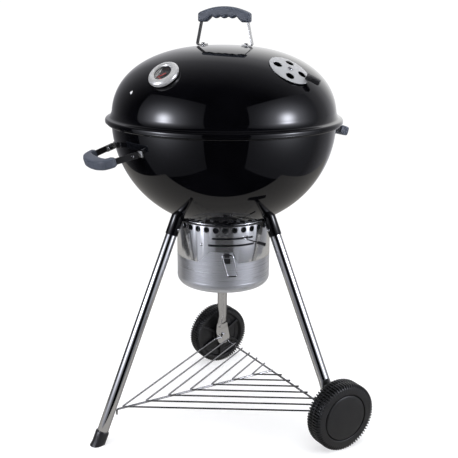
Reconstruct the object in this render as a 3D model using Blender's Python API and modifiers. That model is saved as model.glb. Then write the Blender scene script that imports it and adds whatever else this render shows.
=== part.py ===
"""Kettle charcoal grill with a lift-off lid, a sweeper, a drop-out ash pot and two wheels.

Frame: metres, +Z up.  The origin is on the kettle's own axis at floor level.  The foot leg stands
towards -Y, the two wheel legs towards +Y, and the wheels turn about lines parallel to X.
"""

import math

import bmesh
import bpy
from mathutils import Matrix, Vector

# ----------------------------------------------------------------------------- driving dimensions
GAP = 0.0003                  # clearance left between pieces that touch
RIM_Z = 0.797                 # height of the plane where lid and bowl meet

BOWL_RADIUS = 0.277           # enamelled bowl, outside
BOWL_DEPTH = 0.265
BOWL_POWER = 2.03             # 2 is an ellipse, more is squarer
LID_RADIUS = 0.2768           # enamelled lid, outside
LID_HEIGHT = 0.1784
LID_POWER = 2.34
SHELL = 0.0015                # wall of lid and bowl
BEAD_RADIUS = 0.005           # rolled rim of the bowl
BEAD_CENTRE = 0.2835
ROUND_STEPS = 32              # facets round lid and bowl

SLEEVE_RADIUS = 0.1188        # perforated sleeve and ash pot
SLEEVE_TOP = 0.5552
SEAM_Z = 0.4561               # sleeve above, ash pot below
POT_BOTTOM = 0.376
POT_WALL = 0.0012
SLEEVE_STEPS = 32             # one facet for each vent hole
VENT_COUNT = 32
VENT_RADIUS = 0.0074
VENT_Z = 0.541
SLOT_HEIGHT = 0.005
TAB_TOP = 0.4858              # pot's tab that rises into the sleeve

LEG_RADIUS = 0.014
LEG_FOOT_RADIUS = 0.3614      # distance of the leg's centre line from the axis at the floor
LEG_SLOPE = 0.409             # how much nearer the axis it comes for each metre of height
FOOT_AZIMUTH = -90.0
WHEEL_AZIMUTHS = {"right": 29.5, "left": 150.5}
LEG_TOP_Z = 0.535
SOCKET_RADIUS = 0.0158
SOCKET_BORE = 0.0144
SOCKET_LOW_Z = 0.5185

WHEEL_RADIUS = 0.0874
WHEEL_X = 0.308               # middle of the wheel's width
PADDLE_X = 0.2745             # flattened end of a wheel leg
PADDLE_HALF = 0.002
AXLE_RADIUS = 0.005
AXLE_CLEARANCE = 0.0001

HANDLE_AZIMUTH = 40.0         # direction in which the lid's handle runs
DAMPER_AZIMUTH = 15.6
DAMPER_AT = 0.2072            # distance of the damper's rivet from the axis
DAMPER_RADIUS = 0.050
DAMPER_HOLE = 0.0098
DAMPER_HOLE_CIRCLE = 0.0305
DAMPER_CROWN = 0.30
THERMO_AZIMUTH = -66.1
THERMO_AT = 0.2258
THERMO_RADIUS = 0.037
DIAL_RADIUS = 0.0235
HOOK_AZIMUTH = -84.7
HOOK_AT = 0.259

VENT_AZIMUTHS = (33.0, 153.0, 273.0)
GRATE_Z = 0.775               # cooking grate
GRATE_RADIUS = 0.262
COAL_GRATE_Z = 0.634
COAL_GRATE_RADIUS = 0.2125
LATCH_AZIMUTH = -26.0
LATCH_Z = 0.4795
LEVER_AZIMUTH = -6.0
LEVER_Z = 0.520

RACK_Z = 0.0862               # centre of the rack's arms
RACK_BAR_Y = 0.1577
RACK_PITCH_Y = 0.0644         # from one apex to the next along the spine
RACK_PITCH_X = 0.0408         # from one arm end to the next along the crossbar
RACK_WIRE = 0.0019
RACK_BAR = 0.0024

ARM_THICK = 0.003
EAR_OFFSET = ARM_THICK + GAP
BOLT_ALONG = 0.020            # side-handle bolt, measured along the arm from the bowl
FLARE = ((0.2790, 0.0125), (0.2830, 0.0056), (0.2880, 0.0030), (0.2915, 0.0018), (0.2925, -0.0004),
         (0.2925, -0.0036))
FLARE_INSIDE = ((0.2911, -0.0036), (0.2908, 0.0004), (0.2835, 0.0008), (0.2776, 0.0120))
LID_FOOT_AT = 0.055           # distance of a handle screw from the axis
LID_ARM_LOW = 0.0705          # distance of an arm's bend from the axis
LID_ARM_HIGH = 0.0570         # and of its upper end
LID_ARM_WIDTH = 0.012
LID_ARM_THICK = 0.0026
GRIP_LOW_Z = 1.0290
SIDE_GRIP_Y = 0.3290          # distance of the side grips' ends from the X axis
SIDE_GRIP_Z = 0.7235
REAR_HANDLE_RAISE = 0.0300    # the rear handle sits higher on the bowl than the front one
REAR_HANDLE_INSET = 0.0042    # the bowl is wider at that height
GRIP_TOP_Z = 1.0665
POCKET = 0.014                # how far an arm goes into its grip
SCREW_PROFILE = ((0.0, 0.0074), (0.0052, 0.0052), (0.0052, 0.0042), (0.0025, 0.0042),
                 (0.0025, -0.0042), (0.0050, -0.0042), (0.0050, -0.0066), (0.0, -0.0066))
BOLT_PROFILE = ((0.0, 0.0050), (0.0060, 0.0030), (0.0060, 0.0018), (0.0028, 0.0018),
                (0.0028, -0.0052), (0.0052, -0.0052), (0.0052, -0.0086), (0.0, -0.0086))
RING_RADIUS = 0.1216
RING_WIRE = 0.0022
RING_Z = 0.5524
WHEEL_PROFILE = ((0.0140, 0.0140), (0.0140, 0.0060), (0.0545, 0.0060), (0.0545, 0.0195),
                 (0.0600, 0.0225), (0.0800, 0.0215), (0.0874, 0.0170), (0.0874, -0.0195),
                 (0.0840, -0.0230), (0.0700, -0.0230), (0.0660, -0.0120), (0.0140, -0.0120),
                 (0.0140, -0.0308))
HUBCAP_PROFILE = ((0.0, 0.0250), (0.0300, 0.0246), (0.0500, 0.0232), (0.0540, 0.0212),
                  (0.0540, 0.0180), (0.0, 0.0180))
LEVER_BEND = 0.024            # sideways reach of the lever's bent end
SPINDLE_RADIUS = 0.0011       # needle's spindle, in the dial's 1.2 mm hole
SHAFT_RADIUS = 0.0054         # sweeper shaft
SHAFT_HOLE = 0.00565          # its hole through the bowl
RIVET_HOLE = 0.0029           # clearance hole for the lid's screws and rivets
DISC_HOLE = 0.0028            # damper disc's hole, close on its rivet
LATCH_BORE = 0.00178          # bracket's bore, close on the 1.6 mm radius loop wire
TUBE_WALL = 0.0013
TAB_THICK = 0.002
GRATE_TAB_Z = 0.7708          # middle of the tabs under the cooking grate
SCREW_STAND = 0.0006          # socket screw's seat above the tube it is set on askew

COLOURS = {                   # name: (red, green, blue, roughness, metallic)
    "black_enamel": (0.006, 0.006, 0.008, 0.08, 0.0),
    "grip_plastic": (0.075, 0.085, 0.11, 0.45, 0.0),
    "wheel_plastic": (0.018, 0.018, 0.02, 0.55, 0.0),
    "chrome": (0.80, 0.80, 0.82, 0.10, 1.0),
    "polished_aluminium": (0.86, 0.87, 0.89, 0.10, 1.0),
    "satin_aluminium": (0.62, 0.63, 0.66, 0.32, 1.0),
    "plated_steel": (0.62, 0.62, 0.62, 0.30, 1.0),
    "black_steel": (0.012, 0.012, 0.013, 0.35, 0.0),
    "dial_black": (0.01, 0.01, 0.01, 0.5, 0.0),
    "needle_red": (0.55, 0.03, 0.02, 0.4, 0.0),
    "lens_glass": (0.9, 0.92, 0.93, 0.03, 0.0),
}


# ----------------------------------------------------------------------------- scene and materials
def clear_scene():
    """Remove every object that is already in the scene."""
    for thing in list(bpy.data.objects):
        bpy.data.objects.remove(thing, do_unlink=True)


def new_collection(name):
    """Return a new collection linked to the scene."""
    collection = bpy.data.collections.new(name)
    bpy.context.scene.collection.children.link(collection)
    return collection


def make_material(name, red, green, blue, roughness, metallic):
    """Return a Principled material of one colour."""
    material = bpy.data.materials.new(name)
    material.use_nodes = True
    shader = material.node_tree.nodes["Principled BSDF"]
    shader.inputs["Base Color"].default_value = (red, green, blue, 1.0)
    shader.inputs["Roughness"].default_value = roughness
    shader.inputs["Metallic"].default_value = metallic
    return material


clear_scene()
PARTS = new_collection("kettle_grill")
CUTTERS = new_collection("cutters")
MATERIALS = {name: make_material(name, *values) for name, values in COLOURS.items()}


def add_object(name, data, material=None, matrix=None):
    """Link mesh or curve data as a part, or as a hidden tool when it has no material."""
    thing = bpy.data.objects.new(name, data)
    if matrix is not None:
        thing.matrix_world = matrix
    if material is None:
        CUTTERS.objects.link(thing)
        thing.hide_render = True
        thing.display_type = "WIRE"
    else:
        PARTS.objects.link(thing)
        data.materials.append(MATERIALS[material])
    return thing


# ----------------------------------------------------------------------------- places and frames
def polar(radius, azimuth, z):
    """Point at a distance from the Z axis, in a direction given in degrees."""
    angle = math.radians(azimuth)
    return Vector((radius * math.cos(angle), radius * math.sin(angle), z))


def frame_at(origin, normal, along):
    """Matrix whose Z is the normal and whose X is as near to along as it can be."""
    z_axis = normal.normalized()
    y_axis = z_axis.cross(along).normalized()
    x_axis = y_axis.cross(z_axis)
    rotation = Matrix((x_axis, y_axis, z_axis)).transposed()
    return Matrix.Translation(origin) @ rotation.to_4x4()


def superellipse(radius, depth, power, low, high, count):
    """Points (r, z) of a superellipse quadrant from its parameter low to high, in degrees."""
    points = []
    for index in range(count):
        angle = math.radians(low + (high - low) * index / (count - 1))
        r = radius * max(math.cos(angle), 0.0) ** (2.0 / power)
        z = depth * max(math.sin(angle), 0.0) ** (2.0 / power)
        points.append((r, z))
    return points


def height_at(radius, depth, power, r):
    """Height of a superellipse above its widest plane at the distance r from the axis."""
    return depth * (1.0 - (r / radius) ** power) ** (1.0 / power)


def parameter_at_height(depth, power, z):
    """The superellipse's parameter, in degrees, where it is z from its widest plane."""
    return math.degrees(math.asin((z / depth) ** (power / 2.0)))


def dome_frame(azimuth, r, lift=0.0):
    """Frame on the outside of the lid: Z is outward, X is level, Y is up the slope."""
    z = height_at(LID_RADIUS, LID_HEIGHT, LID_POWER, r)
    steep = (r / LID_RADIUS) ** (LID_POWER - 1.0) / LID_RADIUS
    flat = (z / LID_HEIGHT) ** (LID_POWER - 1.0) / LID_HEIGHT
    normal = polar(steep, azimuth, flat).normalized()
    level = polar(1.0, azimuth + 90.0, 0.0)
    return frame_at(polar(r, azimuth, RIM_Z + z) + normal * lift, normal, level)


def leg_point(azimuth, z):
    """Point on a leg's centre line at the height z."""
    return polar(LEG_FOOT_RADIUS - LEG_SLOPE * z, azimuth, z)


def leg_frame(azimuth, z):
    """Frame on a leg's centre line: Z runs up the leg, X is level."""
    upward = leg_point(azimuth, 1.0) - leg_point(azimuth, 0.0)
    return frame_at(leg_point(azimuth, z), upward, polar(1.0, azimuth + 90.0, 0.0))


# ----------------------------------------------------------------------------- shapes
def round_shading(mesh, angle=35.0):
    """Smooth a mesh's round faces and keep its edges crisp."""
    mesh.shade_smooth()
    mesh.set_sharp_from_angle(angle=math.radians(angle))


def turned(name, profile, material=None, matrix=None, steps=ROUND_STEPS, closed=False):
    """Turn a profile of (r, z) points, outer side first and top to bottom, about local Z."""
    mesh = bpy.data.meshes.new(name)
    edges = [(index, index + 1) for index in range(len(profile) - 1)]
    if closed:
        edges.append((len(profile) - 1, 0))
    mesh.from_pydata([(r, 0.0, z) for r, z in profile], edges, [])
    thing = add_object(name, mesh, material, matrix)
    screw = thing.modifiers.new("Turn", "SCREW")
    screw.axis = "Z"
    screw.steps = steps
    screw.render_steps = steps
    screw.use_merge_vertices = True
    screw.merge_threshold = 0.0001
    return thing


def mesh_from(name, bm, material, matrix):
    """Turn a bmesh into an object with crisp edges."""
    mesh = bpy.data.meshes.new(name)
    bm.to_mesh(mesh)
    bm.free()
    round_shading(mesh)
    return add_object(name, mesh, material, matrix)


def rod(name, start, end, radius, material=None, sides=12, end_radius=None):
    """A round bar, or a cone when end_radius is given, from one point to another."""
    start = Vector(start)
    end = Vector(end)
    upward = end - start
    hint = Vector((1.0, 0.0, 0.0))
    if abs(upward.normalized().x) > 0.9:
        hint = Vector((0.0, 1.0, 0.0))
    bm = bmesh.new()
    bmesh.ops.create_cone(
        bm, cap_ends=True, segments=sides, radius1=radius,
        radius2=radius if end_radius is None else end_radius, depth=upward.length)
    return mesh_from(name, bm, material, frame_at((start + end) / 2.0, upward, hint))


def box(name, size, matrix, material=None, bevel=0.0):
    """A box of the given size centred on a frame, with edges rounded by bevel."""
    bm = bmesh.new()
    bmesh.ops.create_cube(bm, size=1.0)
    bmesh.ops.scale(bm, vec=Vector(size), verts=bm.verts)
    thing = mesh_from(name, bm, material, matrix)
    if bevel > 0.0:
        modifier = thing.modifiers.new("Round", "BEVEL")
        modifier.width = bevel
        modifier.segments = 1
    return thing


def curve_mesh(name, curve, material, matrix=None):
    """Make a curve a closed mesh with its caps welded, and drop the curve."""
    source = bpy.data.objects.new(name + "_path", curve)
    bm = bmesh.new()
    bm.from_mesh(bpy.data.meshes.new_from_object(source))
    bmesh.ops.remove_doubles(bm, verts=bm.verts, dist=0.00001)
    bpy.data.objects.remove(source)
    bpy.data.curves.remove(curve)
    return mesh_from(name, bm, material, matrix)


def wire(name, points, radius, material=None, closed=False, resolution=1):
    """A round wire through points; resolution 0, 1 and 2 give 4, 6 and 8 sides."""
    curve = bpy.data.curves.new(name, "CURVE")
    curve.dimensions = "3D"
    curve.bevel_depth = radius
    curve.bevel_resolution = resolution
    curve.use_fill_caps = True
    spline = curve.splines.new("POLY")
    spline.points.add(len(points) - 1)
    for target, point in zip(spline.points, points):
        target.co = (point[0], point[1], point[2], 1.0)
    spline.use_cyclic_u = closed
    return curve_mesh(name, curve, material)


def plate(name, outline, thickness, matrix, material=None, bevel=0.0):
    """A flat outline in the frame's XY plane, thickness thick, centred on the plane."""
    curve = bpy.data.curves.new(name, "CURVE")
    curve.dimensions = "2D"
    curve.fill_mode = "BOTH"
    curve.extrude = thickness / 2.0 - bevel
    curve.bevel_depth = bevel
    curve.bevel_resolution = 1
    curve.offset = -bevel
    spline = curve.splines.new("POLY")
    spline.points.add(len(outline) - 1)
    for target, point in zip(spline.points, outline):
        target.co = (point[0], point[1], 0.0, 1.0)
    spline.use_cyclic_u = True
    return curve_mesh(name, curve, material, matrix)


def combine(thing, tool, operation):
    """Cut, join or intersect one object with another."""
    modifier = thing.modifiers.new(operation.title(), "BOOLEAN")
    modifier.operation = operation
    modifier.object = tool
    modifier.solver = "EXACT"


def combine_all(thing, tools, operation):
    """Cut or join one object with a whole group of tools in one step."""
    group = bpy.data.collections.new(thing.name + "_" + operation.lower())
    CUTTERS.children.link(group)
    for tool in tools:
        CUTTERS.objects.unlink(tool)
        group.objects.link(tool)
    modifier = thing.modifiers.new(operation.title(), "BOOLEAN")
    modifier.operation = operation
    modifier.operand_type = "COLLECTION"
    modifier.collection = group
    modifier.solver = "EXACT"


def loft(name, sections, material):
    """A closed solid through loops of points that all have the same count."""
    bm = bmesh.new()
    rings = [[bm.verts.new(point) for point in section] for section in sections]
    count = len(rings[0])
    for low, high in zip(rings, rings[1:]):
        for index in range(count):
            after = (index + 1) % count
            bm.faces.new((low[index], low[after], high[after], high[index]))
    bm.faces.new(list(reversed(rings[0])))
    bm.faces.new(rings[-1])
    bmesh.ops.recalc_face_normals(bm, faces=bm.faces)
    return mesh_from(name, bm, material, Matrix.Identity(4))


def arc_points(radius, low, high, count, z):
    """Points on a level arc about the Z axis, from one azimuth to another."""
    return [polar(radius, low + (high - low) * index / (count - 1), z) for index in range(count)]


# ----------------------------------------------------------------------------- bowl
def bowl_outline(grow=0.0):
    """Points (r, z) of the bowl's wall from under its rim to the axis."""
    radius = BOWL_RADIUS + grow
    depth = BOWL_DEPTH + grow
    low = parameter_at_height(depth, BOWL_POWER, 0.012)
    quadrant = superellipse(radius, depth, BOWL_POWER, low, 90.0, 9)
    outline = [(r, RIM_Z - z) for r, z in quadrant[:-1]]
    outline.append((0.0, RIM_Z - depth))
    return outline


def faceted_radius(azimuth, z):
    """Distance of the bowl's faceted wall from the axis, at a height and in a direction."""
    outline = bowl_outline()
    radius = outline[0][0]
    for (r_high, z_high), (r_low, z_low) in zip(outline, outline[1:]):
        if z_low <= z <= z_high:
            radius = r_low + (r_high - r_low) * (z - z_low) / (z_high - z_low)
    facet = 360.0 / ROUND_STEPS
    off_middle = math.radians((azimuth % facet) - facet / 2.0)
    return radius * math.cos(math.radians(facet / 2.0)) / math.cos(off_middle)


def rim_bead():
    """Points (r, z) round the bowl's rolled rim, from its inner top to its underside."""
    points = []
    for angle in (125.0, 80.0, 30.0, -20.0, -75.0):
        turn = math.radians(angle)
        points.append((BEAD_CENTRE + BEAD_RADIUS * math.cos(turn),
                       RIM_Z - BEAD_RADIUS + BEAD_RADIUS * math.sin(turn)))
    return points


def handle_root(side, hand):
    """Ends of one side-handle arm: at the bowl and in the grip."""
    raised = REAR_HANDLE_RAISE if side > 0 else 0.0
    inset = REAR_HANDLE_INSET if side > 0 else 0.0
    at_bowl = Vector((hand * 0.074, side * (0.2610 + inset), 0.7415 + raised))
    in_grip = Vector((hand * 0.0565, side * SIDE_GRIP_Y, SIDE_GRIP_Z + raised))
    return at_bowl, in_grip


def arm_frame(side, hand, along):
    """Frame on an arm's centre line: X runs outward, Z is the strap's width, Y its thickness."""
    at_bowl, in_grip = handle_root(side, hand)
    outward = (in_grip - at_bowl).normalized()
    upright = Vector((0.0, 0.0, 1.0))
    return frame_at(at_bowl + outward * along, upright - outward * outward.z, outward)


def handle_ear(side, hand):
    """Bracket welded to the bowl for one arm of a side handle: an ear and its foot plate."""
    spot = arm_frame(side, hand, 0.016)
    aside = side * hand * EAR_OFFSET
    ear = box("ear_tool", (0.026, ARM_THICK, 0.015), spot @ Matrix.Translation((0.0, aside, 0.0)))
    at_bowl = handle_root(side, hand)[0]
    azimuth = math.degrees(math.atan2(at_bowl.y, at_bowl.x))
    centre = faceted_radius(azimuth, at_bowl.z) - 0.0007 + 0.00225
    outward = polar(1.0, azimuth, -0.17)
    seat = frame_at(polar(centre, azimuth, at_bowl.z), outward, polar(1.0, azimuth + 90.0, 0.0))
    foot = box("foot_tool", (0.020, 0.026, 0.0045), seat)
    return [ear, foot]


def build_bowl():
    """Bowl with a rolled rim, welded handle brackets, three bottom vents and grate tabs."""
    mouth = [(BOWL_RADIUS - SHELL, RIM_Z - 0.0035)]
    profile = rim_bead() + bowl_outline() + list(reversed(bowl_outline(-SHELL))) + mouth
    bowl = turned("bowl_shell", profile, "black_enamel", closed=True)
    ears = []
    for side in (-1.0, 1.0):
        for hand in (-1.0, 1.0):
            ears.extend(handle_ear(side, hand))
    combine_all(bowl, ears, "UNION")
    holes = [rod("shaft_hole", (0, 0, 0.50), (0, 0, 0.56), SHAFT_HOLE, sides=12)]
    for azimuth in VENT_AZIMUTHS:
        holes.append(vent_tool(azimuth))
    for side in (-1.0, 1.0):
        for hand in (-1.0, 1.0):
            spot = arm_frame(side, hand, BOLT_ALONG).translation
            across = arm_frame(side, hand, BOLT_ALONG).to_3x3().col[1] * 0.01
            holes.append(rod("bolt_hole", spot - across, spot + across, 0.0033, sides=10))
    combine_all(bowl, holes, "DIFFERENCE")
    tabs = [grate_tab(azimuth) for azimuth in (45.0, 135.0, 225.0, 315.0)]
    combine_all(bowl, tabs, "UNION")


def vent_tool(azimuth):
    """Upright prism with round ends that cuts one bottom vent."""
    outline = []
    for centre, low in ((0.088, -90.0), (0.042, 90.0)):
        for index in range(5):
            turn = math.radians(low + 45.0 * index)
            outline.append((centre + 0.011 * math.cos(turn), 0.011 * math.sin(turn)))
    spot = Matrix.Translation((0, 0, 0.54)) @ Matrix.Rotation(math.radians(azimuth), 4, "Z")
    return plate("vent_tool", outline, 0.08, spot)


def grate_tab(azimuth):
    """Tab on the inside of the bowl that carries the cooking grate."""
    spot = Matrix.Rotation(math.radians(azimuth), 4, "Z")
    reach = 0.0205
    middle = BOWL_RADIUS - 0.0018 - reach / 2.0
    return box("tab_tool", (reach, 0.018, TAB_THICK),
               spot @ Matrix.Translation((middle, 0, GRATE_TAB_Z)))


# ----------------------------------------------------------------------------- lid
def build_lid():
    """Domed lid with a flared edge, four damper vents and its fixing holes."""
    low = parameter_at_height(LID_HEIGHT, LID_POWER, 0.022)
    outside = superellipse(LID_RADIUS, LID_HEIGHT, LID_POWER, 90.0, low, 9)
    inside = superellipse(LID_RADIUS - SHELL, LID_HEIGHT - SHELL, LID_POWER, low, 90.0, 9)
    profile = [(r, RIM_Z + z) for r, z in outside + list(FLARE) + list(FLARE_INSIDE) + inside]
    profile[0] = (0.0, profile[0][1])
    profile[-1] = (0.0, profile[-1][1])
    lid = turned("lid_shell", profile, "black_enamel")
    holes = []
    damper = dome_frame(DAMPER_AZIMUTH, DAMPER_AT)
    for index in range(4):
        spot = hole_place(index)
        holes.append(through_hole(damper @ Matrix.Translation(spot), DAMPER_HOLE))
    holes.append(through_hole(damper, RIVET_HOLE))
    holes.append(through_hole(dome_frame(THERMO_AZIMUTH, THERMO_AT), 0.0045))
    holes.append(through_hole(dome_frame(HOOK_AZIMUTH, HOOK_AT), 0.0027))
    for hand in (-1.0, 1.0):
        holes.append(through_hole(lid_screw_frame(hand), RIVET_HOLE))
    combine_all(lid, holes, "DIFFERENCE")


def hole_place(index):
    """Place of one damper hole in the damper's own frame."""
    turn = math.radians(47.0 + 90.0 * index)
    return Vector((DAMPER_HOLE_CIRCLE * math.cos(turn), DAMPER_HOLE_CIRCLE * math.sin(turn), 0.0))


def through_hole(spot, radius):
    """Cutter along a frame's Z."""
    origin = spot.translation
    normal = spot.to_3x3().col[2]
    sides = 12 if radius > 0.005 else 8
    return rod("hole_tool", origin - normal * 0.02, origin + normal * 0.02, radius, sides=sides)


def lid_screw_frame(hand):
    """Frame on the lid under the screw of one handle arm."""
    azimuth = HANDLE_AZIMUTH if hand > 0 else HANDLE_AZIMUTH - 180.0
    return dome_frame(azimuth, LID_FOOT_AT)


def lid_arm_path():
    """Centre line (distance, z) of one arm: its foot, its bend and its upper end."""
    foot = RIM_Z + height_at(LID_RADIUS, LID_HEIGHT, LID_POWER, LID_FOOT_AT)
    bend = RIM_Z + height_at(LID_RADIUS, LID_HEIGHT, LID_POWER, LID_ARM_LOW)
    lift = LID_ARM_THICK / 2.0 + GAP
    return ((LID_FOOT_AT - 0.009, foot + lift + 0.0012), (LID_ARM_LOW - 0.004, bend + lift + 0.0006),
            (LID_ARM_LOW, bend + lift + 0.004), (LID_ARM_HIGH, GRIP_LOW_Z + POCKET))


def strap(name, path, width, thickness, matrix, material):
    """A flat strap that follows a path (x, y) in its frame's XY plane, width along Z."""
    left = []
    right = []
    for index, point in enumerate(path):
        here = Vector(point)
        before = Vector(path[max(index - 1, 0)])
        after = Vector(path[min(index + 1, len(path) - 1)])
        arriving = (here - before).normalized() if index > 0 else (after - here).normalized()
        leaving = (after - here).normalized() if index < len(path) - 1 else arriving
        middle = (arriving + leaving).normalized()
        aside = Vector((-middle.y, middle.x)) * thickness / 2.0 / max(middle.dot(arriving), 0.5)
        left.append(here + aside)
        right.append(here - aside)
    outline = right + list(reversed(left))
    return plate(name, outline, width, matrix, material)


def handle_plane(hand):
    """Frame in the lid handle's upright plane: X outward along the handle, Y up."""
    azimuth = HANDLE_AZIMUTH if hand > 0 else HANDLE_AZIMUTH - 180.0
    outward = polar(1.0, azimuth, 0.0)
    return frame_at(Vector((0, 0, 0)), outward.cross(Vector((0, 0, 1))), outward)


def build_lid_handle():
    """Two strap arms, their screws and the moulded grip."""
    for hand, label in ((-1.0, "left"), (1.0, "right")):
        arm = strap("lid_handle_arm_" + label, lid_arm_path(), LID_ARM_WIDTH, LID_ARM_THICK,
                    handle_plane(hand), "plated_steel")
        combine(arm, through_hole(lid_screw_frame(hand), RIVET_HOLE), "DIFFERENCE")
        spot = lid_screw_frame(hand)
        turned("lid_handle_screw_" + label, SCREW_PROFILE, "chrome", spot, steps=8)
    half = 0.0655
    top = []
    for index in range(11):
        x = -half + 2.0 * half * index / 10
        top.append((x, GRIP_TOP_Z - 0.0155 * (x / half) ** 2))
    under = []
    count = 21
    for index in range(count):
        x = 0.0475 - 2.0 * 0.0475 * index / (count - 1)
        wave = 0.0018 * math.cos(2.0 * math.pi * x / 0.0205)
        shoulder = 0.0125 * min(1.0, max(0.0, (abs(x) - 0.031) / 0.0165))
        under.append((x, 1.0405 - wave - shoulder))
    ends = [(half + 0.001, GRIP_LOW_Z + 0.010), (half - 0.004, GRIP_LOW_Z)]
    outline = top + ends + under + [(-x, z) for x, z in reversed(ends)]
    grip = plate("lid_handle_grip", list(reversed(outline)), 0.024, handle_plane(1.0),
                 "grip_plastic", bevel=0.0035)
    for hand in (-1.0, 1.0):
        pocket = strap("pocket_tool", (lid_arm_path()[2], pocket_end()), LID_ARM_WIDTH + 2 * GAP,
                       LID_ARM_THICK + 2 * GAP, handle_plane(hand), None)
        combine(grip, pocket, "DIFFERENCE")


def pocket_end():
    """End of the lid grip's pocket, a gap beyond the end of the arm."""
    low = Vector(lid_arm_path()[2])
    high = Vector(lid_arm_path()[3])
    return tuple(high + (high - low).normalized() * 2 * GAP)


# ----------------------------------------------------------------------------- damper, thermometer
def build_damper():
    """Crowned damper disc with four holes, its tab grip and its rivet."""
    seat = dome_frame(DAMPER_AZIMUTH, DAMPER_AT, lift=0.0016)
    rings = (0.0, 0.017, 0.034, DAMPER_RADIUS)
    drop = [(r, DAMPER_CROWN - math.sqrt(DAMPER_CROWN ** 2 - r ** 2)) for r in rings]
    outside = [(r, 0.0011 - fall) for r, fall in drop]
    inside = [(r, -fall) for r, fall in reversed(drop)]
    disc = turned("lid_damper_disc", outside + inside, "satin_aluminium", seat, steps=28)
    holes = [through_hole(seat @ Matrix.Translation(hole_place(i)), DAMPER_HOLE) for i in range(4)]
    holes.append(through_hole(seat, DISC_HOLE))
    combine_all(disc, holes, "DIFFERENCE")
    turn = Matrix.Rotation(math.radians(-58.0), 4, "Z")
    outline = ((0.0400, -0.007), (0.0470, -0.010), (0.0700, -0.0085), (0.0745, -0.004),
               (0.0745, 0.004), (0.0700, 0.0085), (0.0470, 0.010), (0.0400, 0.007))
    plate("damper_tab_grip", outline, 0.0075, seat @ turn @ Matrix.Translation((0, 0, 0.0052)),
          "black_steel", bevel=0.0015)
    rivet = ((0.0, 0.0062), (0.0040, 0.0055), (0.0060, 0.0040), (0.0060, 0.0030), (0.0025, 0.0030),
             (0.0025, -0.0034), (0.0050, -0.0034), (0.0050, -0.0052), (0.0, -0.0052))
    turned("damper_rivet", rivet, "chrome", dome_frame(DAMPER_AZIMUTH, DAMPER_AT), steps=10)


def build_thermometer():
    """Thermometer case with a wide bezel, its dial, needle, lens and probe."""
    seat = dome_frame(THERMO_AZIMUTH, THERMO_AT, lift=0.0004)
    case = ((DIAL_RADIUS, 0.0125), (0.0280, 0.0140), (0.0330, 0.0128), (0.0362, 0.0095),
            (THERMO_RADIUS, 0.0050), (0.0345, 0.0), (0.0047, 0.0), (0.0047, 0.0020),
            (0.0270, 0.0020), (0.0270, 0.0108), (DIAL_RADIUS, 0.0108))
    turned("thermometer_case", case, "plated_steel", seat, steps=24, closed=True)
    dial = ((0.0012, 0.0040), (0.0265, 0.0040), (0.0265, 0.0024), (0.0012, 0.0024))
    turned("thermometer_dial", dial, "dial_black", seat, steps=20, closed=True)
    lens = ((0.0, 0.0104), (0.0265, 0.0104), (0.0265, 0.0090), (0.0, 0.0090))
    turned("thermometer_lens", lens, "lens_glass", seat, steps=20)
    outline = ((-0.0060, -0.0016), (0.0, -0.0014), (0.0175, -0.0004), (0.0175, 0.0004),
               (0.0, 0.0014), (-0.0060, 0.0016))
    turn = Matrix.Rotation(math.radians(-140.0), 4, "Z")
    needle = plate("thermometer_needle", outline, 0.0010,
                   seat @ turn @ Matrix.Translation((0, 0, 0.0056)), "needle_red")
    origin = seat.translation
    normal = seat.to_3x3().col[2]
    spindle = rod("spindle_tool", origin + normal * 0.0026, origin + normal * 0.0058,
                  SPINDLE_RADIUS, sides=10)
    combine(needle, spindle, "UNION")
    stem = ((0.0, -0.0010), (0.0040, -0.0010), (0.0040, -0.0120), (0.0030, -0.0140),
            (0.0030, -0.0600), (0.0, -0.0620))
    turned("thermometer_probe", stem, "plated_steel", seat, steps=12)


def build_lid_hook():
    """Hook inside the lid that hangs it on the bowl's rim, and the rivet that holds it."""
    seat = dome_frame(HOOK_AZIMUTH, HOOK_AT)
    rivet = ((0.0, 0.0026), (0.0030, 0.0020), (0.0044, 0.0004), (0.0023, 0.0004), (0.0023, -0.0073),
             (0.0040, -0.0073), (0.0040, -0.0090), (0.0, -0.0090))
    turned("lid_hook_rivet", rivet, "chrome", seat, steps=8)
    path = ((0.007, -0.0060), (-0.006, -0.0060), (-0.010, -0.0090), (-0.030, -0.0120),
            (-0.0345, -0.0170), (-0.0310, -0.0210))
    level, upslope = seat.to_3x3().col[0], seat.to_3x3().col[1]
    upright = frame_at(seat.translation, level, upslope)
    hook = strap("lid_hook", path, 0.012, 0.0020, upright, "plated_steel")
    combine(hook, through_hole(seat, 0.0027), "DIFFERENCE")


# ----------------------------------------------------------------------------- side handles
def build_side_handles():
    """Two side handles: a moulded grip on two strap arms, each bolted to an ear of the bowl."""
    for side, label in ((-1.0, "front"), (1.0, "rear")):
        grip = side_grip("side_grip_" + label, side)
        for hand, end in ((-1.0, "left"), (1.0, "right")):
            at_bowl, in_grip = handle_root(side, hand)
            length = (in_grip - at_bowl).length + 0.006
            middle = arm_frame(side, hand, 0.0065 + (length - 0.0065) / 2.0)
            size = (length - 0.0065, ARM_THICK, 0.015)
            arm = box("side_arm_%s_%s" % (label, end), size, middle, "black_steel", bevel=0.0008)
            spot = arm_frame(side, hand, BOLT_ALONG)
            across = spot.to_3x3().col[1] * 0.012
            hole = rod("arm_hole", spot.translation - across, spot.translation + across, 0.0033,
                       sides=10)
            combine(arm, hole, "DIFFERENCE")
            pocket = box("pocket_tool", (size[0] + 2 * GAP, size[1] + 2 * GAP, size[2] + 2 * GAP),
                         middle)
            combine(grip, pocket, "DIFFERENCE")
            inward = spot.to_3x3().col[1] * (-side * hand)
            turned("side_bolt_%s_%s" % (label, end), BOLT_PROFILE, "chrome",
                   frame_at(spot.translation, inward, Vector((0, 0, 1))), steps=8)


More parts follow.
